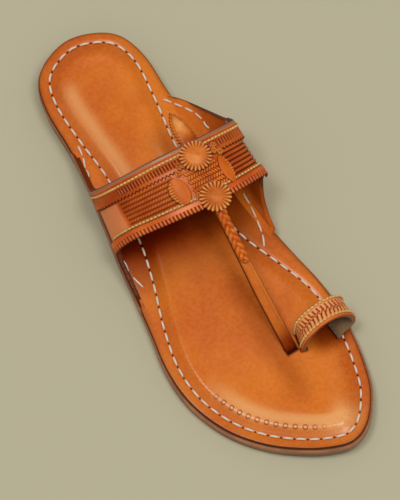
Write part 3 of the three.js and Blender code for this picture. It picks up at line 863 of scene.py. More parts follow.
LOOP_START = {name: values[::-1] for name, values in TOE_LOOP.items()}
SLITS = [slit_round(CENTRE_STRAP, 3.3, 2.2), slit_round(LOOP_START, 1.7, 5.2), slit_round(TOE_LOOP, 1.2, 3.8)]
FOOTBED_GRAIN = leather("footbed_grain", (216, 112, 14), (196, 86, 4), (242, 182, 116), rough=0.38,
                        sewn=STITCH_PITCH, stamps=True, slits=SLITS, coat=0.5, wrinkle=0.35,
                        tooled=(56, 16, 4))
EAR_GRAIN = leather("ear_grain", (212, 106, 12), (188, 80, 4), (236, 160, 84), rough=0.36, coat=0.5)
BAND_GRAIN = leather("band_grain", (218, 102, 28), (186, 70, 8), (228, 152, 98), rough=0.42, patch=60.0,
                     tooled=(66, 18, 4))
STRAP_GRAIN = leather("strap_grain", (212, 112, 28), (184, 82, 14), (236, 164, 94), rough=0.4, patch=50.0)
PANEL_GRAIN = leather("panel_grain", (204, 94, 12), (182, 76, 4), (240, 164, 88), rough=0.46, patch=80.0,
                      coat=0.08)
ROSETTE_GRAIN = leather("rosette_grain", (214, 118, 42), (184, 86, 20), (250, 194, 124), rough=0.42,
                        patch=120.0, coat=0.12)
PLAIT_GRAIN = leather("plait_grain", (224, 116, 32), (186, 78, 10), (240, 164, 92), rough=0.42, patch=150.0)
LOOP_GRAIN = leather("loop_grain", (228, 120, 44), (200, 88, 20), (250, 190, 130), rough=0.42, patch=90.0,
                     tooled=(110, 36, 10))
DARK_EDGE = cut_edge("dark_edge", (104, 58, 34), (62, 30, 16))
FOOTBED_EDGE = cut_edge("footbed_edge", (112, 56, 30), (74, 34, 18))
SOLE_EDGE = cut_edge("sole_edge", (190, 134, 100), (138, 84, 56), layer=1.25)
SOLE_FACE = suede("sole_face", (176, 122, 84), (146, 96, 64))
LIFT_EDGE = cut_edge("lift_edge", (168, 112, 78), (110, 64, 40), layer=2.8)
FLESH = suede("flesh_side", (150, 112, 82), (120, 84, 58))
LINING = suede("loop_lining", (142, 112, 76), (104, 76, 48))
WAXED_THREAD = thread("waxed_thread", (252, 244, 230), (212, 192, 168), 1.3, 0.55)
# the gold cord darkened towards its underside as painted shade
GOLD_CORD = thread("gold_cord", (255, 226, 146), (196, 136, 60), 1.4, 0.35, underside_shade=0.9)

# ---- sole ----


def sole_layer(name, insets, heights, inner, floor, top_z, materials, replaced, loop=LOOP,
               marks=None):
    """A layer of the sole: rings that step in from its edge and then run to its spine, each ring's
    height given over the top surface and over the bottom one."""
    edge, normal = loop["edge"], loop["normal"]
    rings = [edge + normal * np.broadcast_to(inset, len(edge))[:, None] for inset in insets]
    last = rings[-1]
    spine = (last + last[(-np.arange(len(last))) % len(last)]) / 2
    rings += [last + (spine - last) * share for share in inner]
    plan = np.stack(rings, 1)
    reach = np.linalg.norm(plan[:, len(insets) - 1:] - last[:, None], axis=-1)
    outer = [np.broadcast_to(inset, len(edge)) for inset in insets]
    depth = np.stack(outer + [insets[-1] + r for r in reach.T[1:]], 1)
    y = plan[..., 1]
    drop = np.zeros(plan.shape[1])
    drop[: len(heights)] = heights
    top = np.dstack([plan, top_z(plan, depth) - drop])
    bottom = np.dstack([plan, floor(y) + np.minimum(drop, 0.4)])
    run = np.broadcast_to(loop["run"][:, None], (len(edge) + 1, plan.shape[1]))
    wrap = np.concatenate([depth - loop["sew"][:, None], (depth - loop["sew"][:, None])[:1]])
    uv = np.stack([run, wrap], -1)
    given = {key: make(plan, depth) for key, make in (marks or {}).items()}
    return sheet(name, top, bottom, uv, materials, replaced, ring=True, marks=given)


ROUND_STEPS = np.array([0, 0.12, 0.35, 0.7])
ROUND_DROPS = (0.7, 0.34, 0.1, 0)
INNER_SHARES = (0.12, 0.25, 0.4, 0.55, 0.7, 0.85, 1)


def add_outsole():
    """The outsole: edge rounded top and bottom, its top at the deck and its bottom at the underside."""
    insets = [*ROUND_STEPS, 2, 5, 9, 14]
    drops = (0.5, 0.26, 0.08, 0)
    sole_layer("outsole_leather", insets, drops, INNER_SHARES, underside, lambda p, d: deck(p[..., 1]),
               [SOLE_FACE, SOLE_EDGE, SOLE_FACE], ["outsole"])


def heel_loop(count):
    """The heel lift's outline: the sole's edge round the heel, moved in, then straight back across."""
    far = sole_loop(4000)
    edge = far["edge"] + far["normal"] * HEEL_INSET
    inside = edge[:, 1] <= HEEL_LENGTH
    first = int(np.argmin(inside))  # lateral corner
    behind = int(len(edge) - np.argmin(inside[::-1]))  # medial corner
    arc = np.concatenate([edge[behind:], edge[:first]])
    share = np.linspace(0, 1, 120)[1:-1, None]
    front = arc[-1] + (arc[0] - arc[-1]) * share
    outline = np.concatenate([arc, front])
    closed = np.concatenate([outline, outline[:1]])
    run = np.concatenate([[0], np.cumsum(np.linalg.norm(np.diff(closed, axis=0), axis=1))])
    even = np.arange(count) / count * run[-1]
    return np.stack([np.interp(even, run, closed[:, k]) for k in (0, 1)], -1), even


def add_heel_lift():
    """Two lifts of leather with a groove between them: a side profile carried round the outline and
    drawn in to the middle on top and underneath."""
    outline, run = heel_loop(480)
    centre = np.array([0.0, HEEL_LENGTH * 0.52])
    top_z = HEEL_HEIGHT - GAP
    half = top_z / 2
    profile = table(
        "inset z",
        [
            (30, 0), (12, 0), (0.8, 0), (0.25, 0.12), (0, 0.5), (0, half - 0.5), (0.25, half - 0.14),
            (0.45, half), (0.25, half + 0.14), (0, half + 0.5), (0, top_z - 0.35), (0.2, top_z - 0.08),
            (0.6, top_z), (12, top_z), (30, top_z),
        ],
    )
    inward = centre - outline
    length = np.linalg.norm(inward, axis=1, keepdims=True)
    inset = np.minimum(profile["inset"][None, :], 30)
    share = np.where(inset >= 30, 1, inset / length)
    plan = outline[:, None] + inward[:, None] * share[..., None]
    points = np.dstack([plan, np.broadcast_to(profile["z"], plan.shape[:2])])
    rows, lanes = points.shape[:2]
    i, j = (v.ravel() for v in np.meshgrid(np.arange(rows), np.arange(lanes - 1), indexing="ij"))
    row = np.stack([i, i + 1, i + 1, i], -1)
    lane = np.stack([j, j, j + 1, j + 1], -1)
    faces = (row % rows) * lanes + lane
    run_closed = np.append(run, run[-1] + run[1])
    corner_uv = np.stack([run_closed[row], profile["z"][lane]], -1)
    number = np.where((j < 2) | (j > lanes - 4), 1, 0)
    finish_mesh("heel_lift", points.reshape(-1, 3), faces, corner_uv, number, [LIFT_EDGE, SOLE_FACE],
                ["heel"], {}, 50)


def footbed_top(plan, depth):
    """The footbed's face: flat at its sewn margin, a channel under the stitches, then padding that
    rises to a soft roll and dips a little in the heel seat and under the ball of the foot."""
    y, x = plan[..., 1], plan[..., 0]
    d = depth - LOOP["sew"][:, None]
    pad = PAD_HEIGHT * smoothstep(d, 0.5, 6.5)
    channel = -0.4 * np.exp(-((d / 1.0) ** 2))
    round_forefoot = 1 - 0.75 * (1 - smoothstep(x, -14, -2)) * window(y, 110, 226, 14)
    roll = 0.5 * np.exp(-(((d - 7.0) / 3.0) ** 2)) * round_forefoot
    heel_seat = -0.5 * np.exp(-((x / 15) ** 2 + ((y - 34) / 26) ** 2))
    ball = -0.5 * np.exp(-(((x - 6) / 22) ** 2 + ((y - 190) / 24) ** 2))
    wave = 0.12 * np.sin(y / 9.0 + x / 14.0) * smoothstep(d, 4, 12)
    return deck(y) + GAP + FOOTBED_THICKNESS + pad + channel + roll + heel_seat + ball + wave


def add_footbed():
    """The padded footbed. Beside the ears its edge keeps inside their wall, and they grow out of it."""
    y = LOOP["edge"][:, 1]
    sew = LOOP["sew"]
    beside_ear = window(y, 57, 141, 3)
    rim = FOOTBED_INSET + TOE_LEDGE * smoothstep(y, 148, SPRING_START)
    outer = rim + 1.2 * beside_ear * (LOOP["side"] > 0)
    insets = [outer + step for step in ROUND_STEPS]
    inset_last = insets[-1]
    insets += [inset_last + (sew + 0.1 - inset_last) * share for share in (0.25, 0.5, 0.7, 0.85, 1)]
    insets += [sew + step for step in (0.6, 1.1, 1.7, 2.4, 3.2, 4, 4.8, 5.6, 6.4, 7.3, 8.3, 9.5, 11, 12.5)]

    def edge_mark(plan, depth):
        near = depth - outer[:, None]
        dyed = 0.9 * np.exp(-((near / 0.6) ** 2)) + 0.16 * np.exp(-((near / 3.0) ** 2))
        return dyed * (1 - beside_ear)[:, None]

    def shade_mark(plan, depth):
        """Dark where the band, the centre strap and the toe loop keep the light off the leather, and a
        little along the stitches."""
        px, py = plan[..., 0], plan[..., 1]
        rows = np.linspace(4, 17, 200)
        ahead = band_point(rows, 1.0)[..., :2]
        behind = band_point(rows, 0.0)[..., :2]
        past_front = py - np.interp(px, ahead[::-1, 0], ahead[::-1, 1])
        past_back = np.interp(px, behind[::-1, 0], behind[::-1, 1]) - py
        under_band = (1 - smoothstep(past_front, -6, 37)) ** 1.2 * (1 - smoothstep(past_back, -6, 5))
        strap_x = np.interp(py, CENTRE_STRAP["y"], CENTRE_STRAP["x"])
        beside = np.exp(-(((px - strap_x - 7) / 6) ** 2)) * window(py, 160, 214, 16)
        loop_x, loop_y = TOE_LOOP["x"].mean(), TOE_LOOP["y"].mean()
        under_loop = np.exp(-(((px - loop_x) / 10) ** 4) - (((py - loop_y - 2) / 9) ** 4))
        seam = np.exp(-(((depth - LOOP["sew"][:, None] - 2) / 3.5) ** 2))
        return np.clip(0.95 * under_band + 0.45 * beside + 0.9 * under_loop + 0.14 * seam, 0, 1)

    def painted_highlight_mark(plan, depth):
        """Painted highlight: pale on top of the soft roll, round the forefoot and on the heel's lateral side,
        and at the toe corner.
        """
        px, py = plan[..., 0], plan[..., 1]
        roll = np.exp(-(((depth - LOOP["sew"][:, None] - 9.5) / 4.2) ** 2))
        forefoot = smoothstep(px, -24, 0) * smoothstep(py, 186, 214)
        heel = 0.8 * smoothstep(px, 2, 12) * window(py, 30, 78, 12)
        toe_corner = np.exp(-((px + 13) / 9) ** 2 - ((py - 245) / 6) ** 2)
        return np.clip(0.8 * roll * np.clip(forefoot + heel, 0, 1) + 0.8 * toe_corner, 0, 0.85)

    def stamp_mark(plan, depth):
        """Strong over the lateral forefoot, faint round the toe and down both sides."""
        px, py = plan[..., 0], plan[..., 1]
        lateral = smoothstep(px, -6, 4) * smoothstep(py, 196, 206)
        return 0.25 * smoothstep(py, 150, 190) + 0.75 * lateral

    marks = {"edge": edge_mark, "shade": shade_mark, "wear_and_highlight": painted_highlight_mark, "stamp": stamp_mark}
    footbed = sole_layer("footbed", insets, ROUND_DROPS, INNER_SHARES, lambda v: deck(v) + GAP, footbed_top,
                         [FOOTBED_GRAIN, FOOTBED_EDGE, FLESH], ["insole"], marks=marks)


STITCH_SINK = 0.45  # how far a stitch's two ends go down into their holes
STITCH_SQUASH = 0.8  # a stitch's height over its width


def stitches(name, path, up, starts, pitch, share, half_wide, arch, material=WAXED_THREAD):
    """Stitches along a line. One starts at each of the starts and covers the given share of the pitch,
    rising in an arch from hole to hole. path(run) gives points and up(run) their normals.
    With b = sin(pi s), height = arch b^0.6 - STITCH_SINK (1 - b^0.5), for s from 0 to 1."""
    s = np.linspace(0, 1, 9)
    bow = np.sin(np.pi * s)
    run = starts[:, None] + pitch * ((1 - share) / 2 + share * s)
    height = arch * (bow**0.6) - STITCH_SINK * (1 - bow**0.5)
    points = path(run) + up(run) * height[:, None]
    wide = np.broadcast_to(half_wide * (0.62 + 0.38 * bow**0.7), run.shape)
    return cords(name, points, up(run), wide, wide * STITCH_SQUASH, 8, material)


def follow(points, normals):
    """Length of a line through points, with functions that give its place and normal at a run."""
    run = np.concatenate([[0], np.cumsum(np.linalg.norm(np.diff(points, axis=0), axis=1))])

    def path(s):
        return np.stack([np.interp(s, run, points[:, k]) for k in range(3)], -1)

    def up(s):
        return unit(np.stack([np.interp(s, run, normals[:, k]) for k in range(3)], -1))

    return run[-1], path, up


def add_footbed_stitches():
    """The stitch line all round the footbed, at its inset from the sole's edge."""
    run = LOOP["run"]
    line = LOOP["edge"] + LOOP["normal"] * LOOP["sew"][:, None]
    closed = np.concatenate([line, line[:1]])
    count = round(run[-1] / STITCH_PITCH)

    def path(s):
        x, y = (np.interp(s % run[-1], run, closed[:, k]) for k in (0, 1))
        return np.stack([x, y, deck(y) + GAP + FOOTBED_THICKNESS - 0.25], -1)

    def up(s):
        return np.broadcast_to([0.0, 0.0, 1.0], (*s.shape, 3))

    starts = (np.arange(count) + 0.5) * STITCH_PITCH
    stitches("footbed_stitches", path, up, starts, STITCH_PITCH, 0.8, 0.58, 0.6)


add_outsole()
add_heel_lift()
add_footbed()
add_footbed_stitches()

# ---- ears and band ----


def rounding(distance, radius):
    """Drop of a rounded edge: a quarter circle of the given radius, distance in from the edge."""
    near = np.clip(radius - distance, 0, radius)
    return radius - np.sqrt(np.maximum(radius**2 - near**2, 0))


def edge_lanes(count, first=0.0, last=1.0, fine=0.012):
    """Shares from first to last, with extra lanes close to both ends for the rounding."""
    close = np.array([0, 0.3, 1]) * fine * (last - first)
    inner = np.linspace(first + 2 * close[-1], last - 2 * close[-1], count)
    return np.concatenate([first + close, inner, (last - close)[::-1]])


def band_relief(t, share):
    """Tooling of the band's face: grooves along it on both sides of the rosettes, with slanting hatch
    on the ridges between them. Gives height and a mark of how deep the tool went."""
    phase = (share - GROOVE_SHARES[0]) / (GROOVE_SHARES[1] - GROOVE_SHARES[0]) * GROOVES
    field = window(share, *GROOVE_SHARES, 0.004)
    lateral = window(t, *LATERAL_GROOVES, 0.15)
    medial = window(t, *MEDIAL_GROOVES, 0.2)
    line = np.exp(-(((phase % 1 - 0.5) / 0.17) ** 2)) * field
    run = run_of_row(t)
    slant = np.clip(np.sin(2 * np.pi * (run + 0.8 * phase * 2.2) / 1.55), 0, 1)
    hatch = slant * (1 - np.exp(-(((phase % 1 - 0.5) / 0.3) ** 2))) * field * (lateral + 0.35 * medial)
    deep = line * (0.75 * lateral + medial)
    soiled = 0.16 * field * window(t, 7.9, 15.7, 0.2)
    return -0.75 * deep - 0.3 * hatch, np.clip(deep + 0.6 * hatch + soiled, 0, 1)


def add_band():
    """Ears and band in one piece of leather, its outer face tooled, its inner face plain."""
    first, last = EAR_ROWS
    tooled = even_rows(5.5, 15.9, 0.42)
    t = np.concatenate([even_rows(first, 5.5, 0.5)[:-1], tooled, even_rows(15.9, last, 0.5)[1:]])
    share = edge_lanes(84)
    rows, lanes = np.meshgrid(t, share, indexing="ij")
    relief, tooling_and_shade = band_relief(rows, lanes)
    width = band_width(t)[:, None]
    near = np.minimum(lanes, 1 - lanes) * width
    risen = window(rows, first + 1.2, last - 1.2, 1.2)
    drop = rounding(near, 0.7)
    top = on_band(rows, lanes, relief - drop)
    wall = ROOT_WALL + (STRAP_WALL - ROOT_WALL) * risen
    bottom = on_band(rows, lanes, -wall + rounding(near, 0.5) * risen)
    uv = np.stack([np.broadcast_to(run_of_row(t)[:, None], rows.shape), lanes * width], -1)
    # painted shade: the lateral ear's outer face made dark as a shadow gap
    painted_gap_shade = window(rows, 2.2, 5.35, 0.4)
    inner_front = smoothstep(rows, 15.5, 16.5) * (lanes > 0.5)
    edge = 0.9 * np.exp(-((near / 0.9) ** 2)) * risen * (1 - 0.75 * inner_front)
    # painted highlight: the plain lateral end panel made pale where the light catches it
    painted_end_highlight = window(rows, 5.7, 7.6, 0.15) * window(lanes, 0.36, 0.85, 0.02)
    beside_band = 0.8 * (1 - smoothstep(rows, 4.2, 5.4)) + 0.7 * window(rows, 15.2, 17.2, 1.2)
    shade = np.clip(beside_band * (0.35 + 0.65 * smoothstep(lanes, 0.3, 0.9)), 0, 1)
    under = np.where((t[:-1] < 7.2) | (t[:-1] > 15.2), 3, 2)
    dyed_back = (t[:-1] > 5.4) & (t[:-1] < last - 1.4)
    dyed_front = (t[:-1] > 3.3) & (t[:-1] < 16.4)
    sides = np.where(np.stack([dyed_back, dyed_front]), 1, 3)
    sheet("ears_and_band", top, bottom, uv, [BAND_GRAIN, DARK_EDGE, FLESH, EAR_GRAIN],
          ["upper"], marks={"tooling_and_shade": np.maximum(tooling_and_shade, 0.8 * painted_gap_shade), "edge": edge, "shade": shade,
                            "wear_and_highlight": 0.65 * painted_end_highlight}, under=under, sides=sides)


def add_rear_strap():
    """The rear strap sewn over the band: a smooth back half, comb-tooled slots, and a front edge pinked
    into teeth, with a row of small shadows painted along them."""
    first, last = REAR_STRAP["rows"]
    t = even_rows(first, last, 0.3)
    run = run_of_row(t)[:, None]
    low, high = REAR_STRAP["shares"]
    lanes = edge_lanes(34, fine=0.02)[None, :]
    width = band_width(t)[:, None]
    teeth = 0.65 * zigzag(run, 2.1) / width
    share = low + (high - low) * lanes + teeth * lanes**6
    from_back = lanes * (high - low) * width
    comb = window(from_back, 4.9, 7.9, 0.35) * (0.5 + 0.5 * np.cos(2 * np.pi * run / 1.65)) ** 1.5
    comb = comb * (0.35 + 0.65 * window(run, run[0] + 24, run[-1] - 18, 8))
    seam = np.exp(-(((from_back - 2.3) / 0.35) ** 2)) + np.exp(-(((from_back - 4.5) / 0.3) ** 2))
    near = np.minimum(lanes, 1 - lanes) * (high - low) * width
    ends = np.minimum(run - run[0], run[-1] - run)
    drop = rounding(np.minimum(near, ends), 0.5)
    lift = GAP + OVERLAY_THICKNESS - drop - 0.42 * comb - 0.18 * seam
    rows = np.broadcast_to(t[:, None], share.shape)
    uv = np.stack([np.broadcast_to(run, share.shape), from_back], -1)
    # painted shadow: a dark row along the pinked teeth at the front edge
    painted_tooth_shadow = np.exp(-((((1 - lanes) * (high - low) * width) / 0.9) ** 2))
    sheet("rear_strap", on_band(rows, share, lift), on_band(rows, share, 0.05), uv,
          [BAND_GRAIN, DARK_EDGE, FLESH], ["back_strap"],
          marks={"tooling_and_shade": np.clip(comb + 0.5 * seam + 0.6 * painted_tooth_shadow, 0, 1),
                 "shade": 0.35 * window(from_back, 4.7, 9, 0.4), "raw": window(from_back, -1, 1.3, 0.15),
                 "edge": 0.9 * np.exp(-((near / 0.5) ** 2)) * (lanes > 0.5)})


def add_front_strap():
    """The narrow strap sewn over the band's front edge: a plain strip, then slots cut in to the edge."""
    first, last = FRONT_STRAP["rows"]
    t = even_rows(first, last, 0.3)
    run = run_of_row(t)[:, None]
    low, high = FRONT_STRAP["shares"]
    lanes = edge_lanes(22, fine=0.03)[None, :]
    width = band_width(t)[:, None]
    scallop = (0.75 * np.abs(np.sin(np.pi * run / 1.95)) - 0.4) / width
    share = low + (high - low) * lanes + scallop * lanes**4
    from_front = (1 - lanes) * (high - low) * width
    slot_row = window(from_front, 0.2, 2.4, 0.3) * (1 - np.abs(np.sin(np.pi * run / 1.95))) ** 1.6
    near = np.minimum(lanes, 1 - lanes) * (high - low) * width
    ends = np.minimum(run - run[0], run[-1] - run)
    drop = rounding(np.minimum(near, ends), 0.5)
    lift = GAP + OVERLAY_THICKNESS - drop - 0.6 * slot_row
    rows = np.broadcast_to(t[:, None], share.shape)
    uv = np.stack([np.broadcast_to(run, share.shape), from_front], -1)
    sheet("front_strap_leather", on_band(rows, share, lift), on_band(rows, share, 0.05), uv,
          [BAND_GRAIN, DARK_EDGE, FLESH], ["front_strap"],
          marks={"tooling_and_shade": np.clip(1.4 * slot_row, 0, 1), "edge": 0.6 * np.exp(-((near / 0.5) ** 2)),
                 "wear_and_highlight": 0.15 * window(from_front, 0.3, 2.2, 0.3) * (1 - slot_row)})


def beads(name, points, normals, pitch, half):
    """A gold thread caught down at even steps, so that it stands up in beads."""
    length, path, up = follow(points, normals)
    starts = np.arange(int(length / pitch)) * pitch
    stitches(name, path, up, starts, pitch, 0.86, half, 0.3, GOLD_CORD)


def band_cord(name, rows, share_of, lift):
    """A gold cord along the band: laid smooth at the lateral end, beaded over the rest."""
    first, change, last = rows
    for part, part_rows in (("smooth", (first, change)), ("beaded", (change, last))):
        t = even_rows(*part_rows, 0.28)
        path = on_band(t, share_of(t), lift)
        up = path - on_band(t, share_of(t), lift - 1)
        if part == "beaded":
            beads(name + "_beaded", path, up, 2.15, 0.62)
        else:
            half, tall = np.full((1, len(t)), 0.5), np.full((1, len(t)), 0.42)
            cords(name + "_smooth", path[None], up[None], half, tall,
                  10, GOLD_CORD, lobes=3, twist=0.45)


add_band()
add_rear_strap()
add_front_strap()
band_cord("rear_gold_cord", (5.7, 8.3, 15.5), lambda t: 0.02 + 3.4 / band_width(t), 1.6)
band_cord("front_gold_cord", (6.0, 7.6, 15.3), lambda t: 0.855 - 0.8 / band_width(t), 0.5)

# ---- rosettes, panels and woven rows ----


def band_disc(name, row, share, radius, low, pleats, thickness, fold, smooth_centre):
    """A pleated disc on the band: radius times (1 + 0.03 cos) round its scalloped rim, its height the
    thickness less a crown, with pleats that fold deeper towards the rim."""
    count = pleats * 9
    angle = np.arange(count)[:, None] / count * 2 * np.pi
    reach = np.array([1, 0.985, 0.95, *np.linspace(0.9, 0.06, 17), 0])[None, :]
    wave = np.cos(pleats * angle)
    rim = 1 + 0.04 * np.abs(wave) ** 0.7 * np.sign(wave) * reach**4
    row_length = np.linalg.norm(band_point(row + 0.5, share) - band_point(row - 0.5, share))
    width = band_width(row)
    t = row + radius * reach * rim * np.cos(angle) / row_length
    s = share + radius * reach * rim * np.sin(angle) / width
    deep = smoothstep(reach, smooth_centre, 1.0) ** 0.8
    relief = fold * deep * wave
    crown = 0.55 * reach**2 + rounding((1 - reach) * radius, 0.6)
    button = 0.25 * np.exp(-((reach / 0.2) ** 2))
    lift = low + thickness - crown + relief + button
    uv = np.stack(np.broadcast_arrays(angle * radius, reach * radius), -1)
    uv = np.concatenate([uv, uv[:1] + [2 * np.pi * radius, 0]])
    # painted shade in the troughs of the pleats, and painted highlight on their crests towards the rim
    painted_pleat_shade = np.clip(-wave, 0, 1) ** 2 * deep
    painted_crest_highlight = np.clip(wave, 0, 1) ** 2 * deep * smoothstep(reach, 0.55, 0.95)
    sheet(name, on_band(t, s, lift), on_band(t, s, low), uv, [ROSETTE_GRAIN, DARK_EDGE, FLESH],
          [name.replace("pleated_", "")], ring=True,
          marks={"tooling_and_shade": 0.95 * painted_pleat_shade, "wear_and_highlight": 0.9 * painted_crest_highlight}, sharp=70)


band_disc("pleated_rosette_back", 11.62, 0.25, ROSETTE_RADIUS, ROSETTE_LIFT, 24, 1.9, 0.38, 0.5)
band_disc("pleated_rosette_front", 11.46, 0.94, ROSETTE_RADIUS, ROSETTE_LIFT, 22, 1.9, 0.42, 0.2)


def band_leaf(name, replaced, row, half_rows, shares, nicks):
    """A boat-shaped panel: half its width follows sin(pi u)^0.55 from tip to tip, its inner side is
    nicked into scallops with short rays cut in from them, and its face is crowned."""
    u = np.linspace(0.02, 0.98, 60)[:, None]
    v = np.linspace(-1, 1, 25)[None, :]
    outline = np.sin(np.pi * u) ** 0.55
    scallop = 1 + 0.16 * np.abs(np.sin(np.pi * nicks * u)) * np.clip(-v, 0, 1) ** 3
    t = row + half_rows * outline * v * scallop
    s = shares[0] + (shares[1] - shares[0]) * u + 0 * v
    near = (1 - np.abs(v)) * outline * 4
    lift = 0.35 + 1.0 - rounding(near, 0.5) + 0.35 * outline * (1 - v**2)
    rays = np.clip(np.cos(2 * np.pi * 10 * u), 0, 1) ** 2 * smoothstep(-v, 0.25, 0.8)
    uv = np.stack(np.broadcast_arrays(u * 13, v * 4), -1)
    sheet(name, on_band(t, s, lift - 0.2 * rays), on_band(t, s, 0.05), uv,
          [PANEL_GRAIN, DARK_EDGE, FLESH], [replaced],
          marks={"tooling_and_shade": 0.8 * rays, "wear_and_highlight": 0.6 * (1 - rays) * smoothstep(-v, 0.4, 0.9),
                 "edge": 0.5 * np.exp(-((near / 0.4) ** 2)) * (v < 0)})


band_leaf("lateral_leaf", "leaf_lateral", 10.42, 0.36, (0.4, 0.86), 6)
band_leaf("medial_leaf", "leaf_medial", 12.5, -0.26, (0.4, 0.88), 6)


def add_woven_rows():
    """Rows of plaited lace between the two panels: short lozenges that lean one way in one row and the
    other way in the next, so that they meet in chevrons."""
    row_count, along_count = 6, 12
    k, m = (v.ravel() for v in np.meshgrid(np.arange(row_count), np.arange(along_count), indexing="ij"))
    start, stop = run_of_row(10.86), run_of_row(12.24)
    pitch = (stop - start) / along_count
    middle = start + (m + 0.5 + 0.5 * (k % 2)) * pitch
    share = 0.43 + 0.072 * k
    lean = np.where(k % 2 == 0, 1, -1)
    s = np.linspace(-1, 1, 7)
    run = middle[:, None] + s * 0.75 * lean[:, None]
    side = share[:, None] + s * 1.15 / 32
    lift = 0.25 + 0.5 * np.cos(s * np.pi / 2)
    t = row_of_run(run)
    path = on_band(t, side, lift)
    up = on_band(t, side, lift + 1) - path
    wide = 0.62 * (1 - 0.5 * np.abs(s) ** 3)
    cords("woven_rows", path, up, wide[None], 0.55 * np.ones((1, 7)), 8, PLAIT_GRAIN)


def add_knots():
    """Small knotted lace ends beside the rear rosette: each is a trefoil, two turns one way while it
    winds three times the other."""
    spots = [(10.85, 0.26), (10.7, 0.37), (12.42, 0.3), (12.62, 0.36), (12.5, 0.22), (10.95, 0.8)]
    places = table("row share", spots)
    a = np.linspace(0, 2 * np.pi, 64)
    reach = 0.9 + 0.42 * np.cos(3 * a)
    du, dv, dz = reach * np.cos(2 * a), reach * np.sin(2 * a), 0.4 * np.sin(3 * a)
    lift = 1.75 + dz[None]
    t = row_of_run(run_of_row(places["row"])[:, None] + du)
    share = places["share"][:, None] + dv / 32
    path = on_band(t, share, lift)
    up = on_band(t, share, lift + 1) - path
    half = np.full(path.shape[:2], 0.4)
    cords("lace_knots", path, up, half, half, 7, ROSETTE_GRAIN)


add_woven_rows()
add_knots()


def add_spear_tail():
    """The centre strap's rounded rear end behind the band: half its width falls as 1 - 0.93 u^3.2 to the
    tip, both edges are pinked, a pale painted highlight lies on its crown, and painted shade darkens it near
    the band."""
    row, half_width, length, droop, overlap = 11.75, 4.7, 19, 5, 8
    row_length = np.linalg.norm(band_point(row + 0.5, 0.0) - band_point(row - 0.5, 0.0))
    width = band_width(row)
    reach = np.linspace(-overlap, length, 96)[:, None]
    v = np.linspace(-1, 1, 25)[None, :]
    out = np.maximum(reach, 0) / length
    pinked = 0.55 * zigzag(reach, 1.9) * smoothstep(np.abs(v), 0.4, 1) * (1 - 0.6 * out)
    half = half_width * (1 - 0.93 * out**3.2) + pinked
    near = (1 - np.abs(v)) * half
    # painted highlight: a pale patch on the crown
    painted_highlight = np.exp(-(((out - 0.55) / 0.25) ** 2) - ((v - 0.1 * np.sin(out * 25)) / 0.55) ** 2)
    border = np.exp(-(((near - 1.2) / 0.3) ** 2))
    lift = -0.25 - rounding(near, 0.4) + 0.5 * (1 - v**2) - 0.12 * border
    across = half * v

    def at(height):
        points = on_band(row + across / row_length, -reach / width + 0 * v, height)
        points[..., 2] -= droop * (out**2 + 0 * v)
        return points

    uv = np.stack(np.broadcast_arrays(reach, across), -1)
    sheet("spear_tail", at(lift), at(-2.0 + 0 * v), uv, [STRAP_GRAIN, DARK_EDGE, FLESH],
          marks={"tooling_and_shade": 0.5 * border, "wear_and_highlight": painted_highlight, "edge": 0.6 * np.exp(-((near / 0.4) ** 2)),
                 "shade": 0.5 * (1 - smoothstep(out + 0 * v, 0, 0.3))})


add_spear_tail()

# ---- centre strap and plait ----

ACROSS = (1.0, 0.0)
LENGTHWISE = (0.0, 1.0)


def add_centre_strap():
    """The long strap from under the band to the slit between the toes: crowned, its edges rounded, and
    a bevel pared along its medial side."""
    t, run = along_rows(CENTRE_STRAP, 0, len(CENTRE_STRAP["x"]) - 1, 0.6)
    v = edge_lanes(20, -1, 1, fine=0.02)[None, :]
    half = (column(CENTRE_STRAP, "width", t) / 2)[:, None]
    across = half * v
    near = (1 - np.abs(v)) * half
    bevel = np.clip((-v - 0.42) / 0.58, 0, 1)
    line = np.exp(-(((v + 0.42) / 0.07) ** 2))
    crown = 0.18 * (1 - v**2)
    lift = CENTRE_THICKNESS / 2 - rounding(near, 0.45) - 0.35 * bevel - 0.12 * line + crown - 0.18
    rows = np.broadcast_to(t[:, None], across.shape)
    uv = np.stack([np.broadcast_to(run[:, None], across.shape), across], -1)
    edge = np.exp(-((near / 0.55) ** 2)) * (0.55 + 0.45 * (v > 0))
    sheet("centre_strap", strap_surface(CENTRE_STRAP, rows, across, lift, ACROSS),
          strap_surface(CENTRE_STRAP, rows, across, -CENTRE_THICKNESS / 2 + rounding(near, 0.3), ACROSS),
          uv, [STRAP_GRAIN, DARK_EDGE, FLESH],
          marks={"edge": edge, "tooling_and_shade": 0.2 * line + 0 * across, "wear_and_highlight": 0.4 * bevel * (near > 0.5),
                 "shade": smoothstep(run, run[-1] - 24, run[-1] - 2)[:, None] + 0 * across})


def add_plait():
    """Three strands plaited over the centre strap: each swings sin(phi) sideways and sin(2 phi) up and
    down, a third of a turn behind the last."""
    t, run = along_rows(CENTRE_STRAP, 1.95, 4.05, 0.3)
    turn = 2 * np.pi * run[None, :] / 11.5 + 2 * np.pi * np.arange(3)[:, None] / 3
    narrow = 1 - 0.35 * smoothstep(run, run[-1] - 5, run[-1]) - 0.25 * (1 - smoothstep(run, 0, 4))
    across = 1.65 * np.sin(turn) * narrow
    lift = CENTRE_THICKNESS / 2 + 1.25 + 0.75 * np.sin(2 * turn)
    rows = np.broadcast_to(t, across.shape)
    path = strap_surface(CENTRE_STRAP, rows, across, lift, ACROSS)
    up = strap_surface(CENTRE_STRAP, rows, across, lift + 1, ACROSS) - path
    wide = np.broadcast_to(1.08 * narrow, across.shape)
    cords("plait", path, up, wide, 0.68 * narrow * np.ones_like(across), 12, PLAIT_GRAIN,
          ["braid"])


add_centre_strap()
add_plait()

# ---- toe loop ----


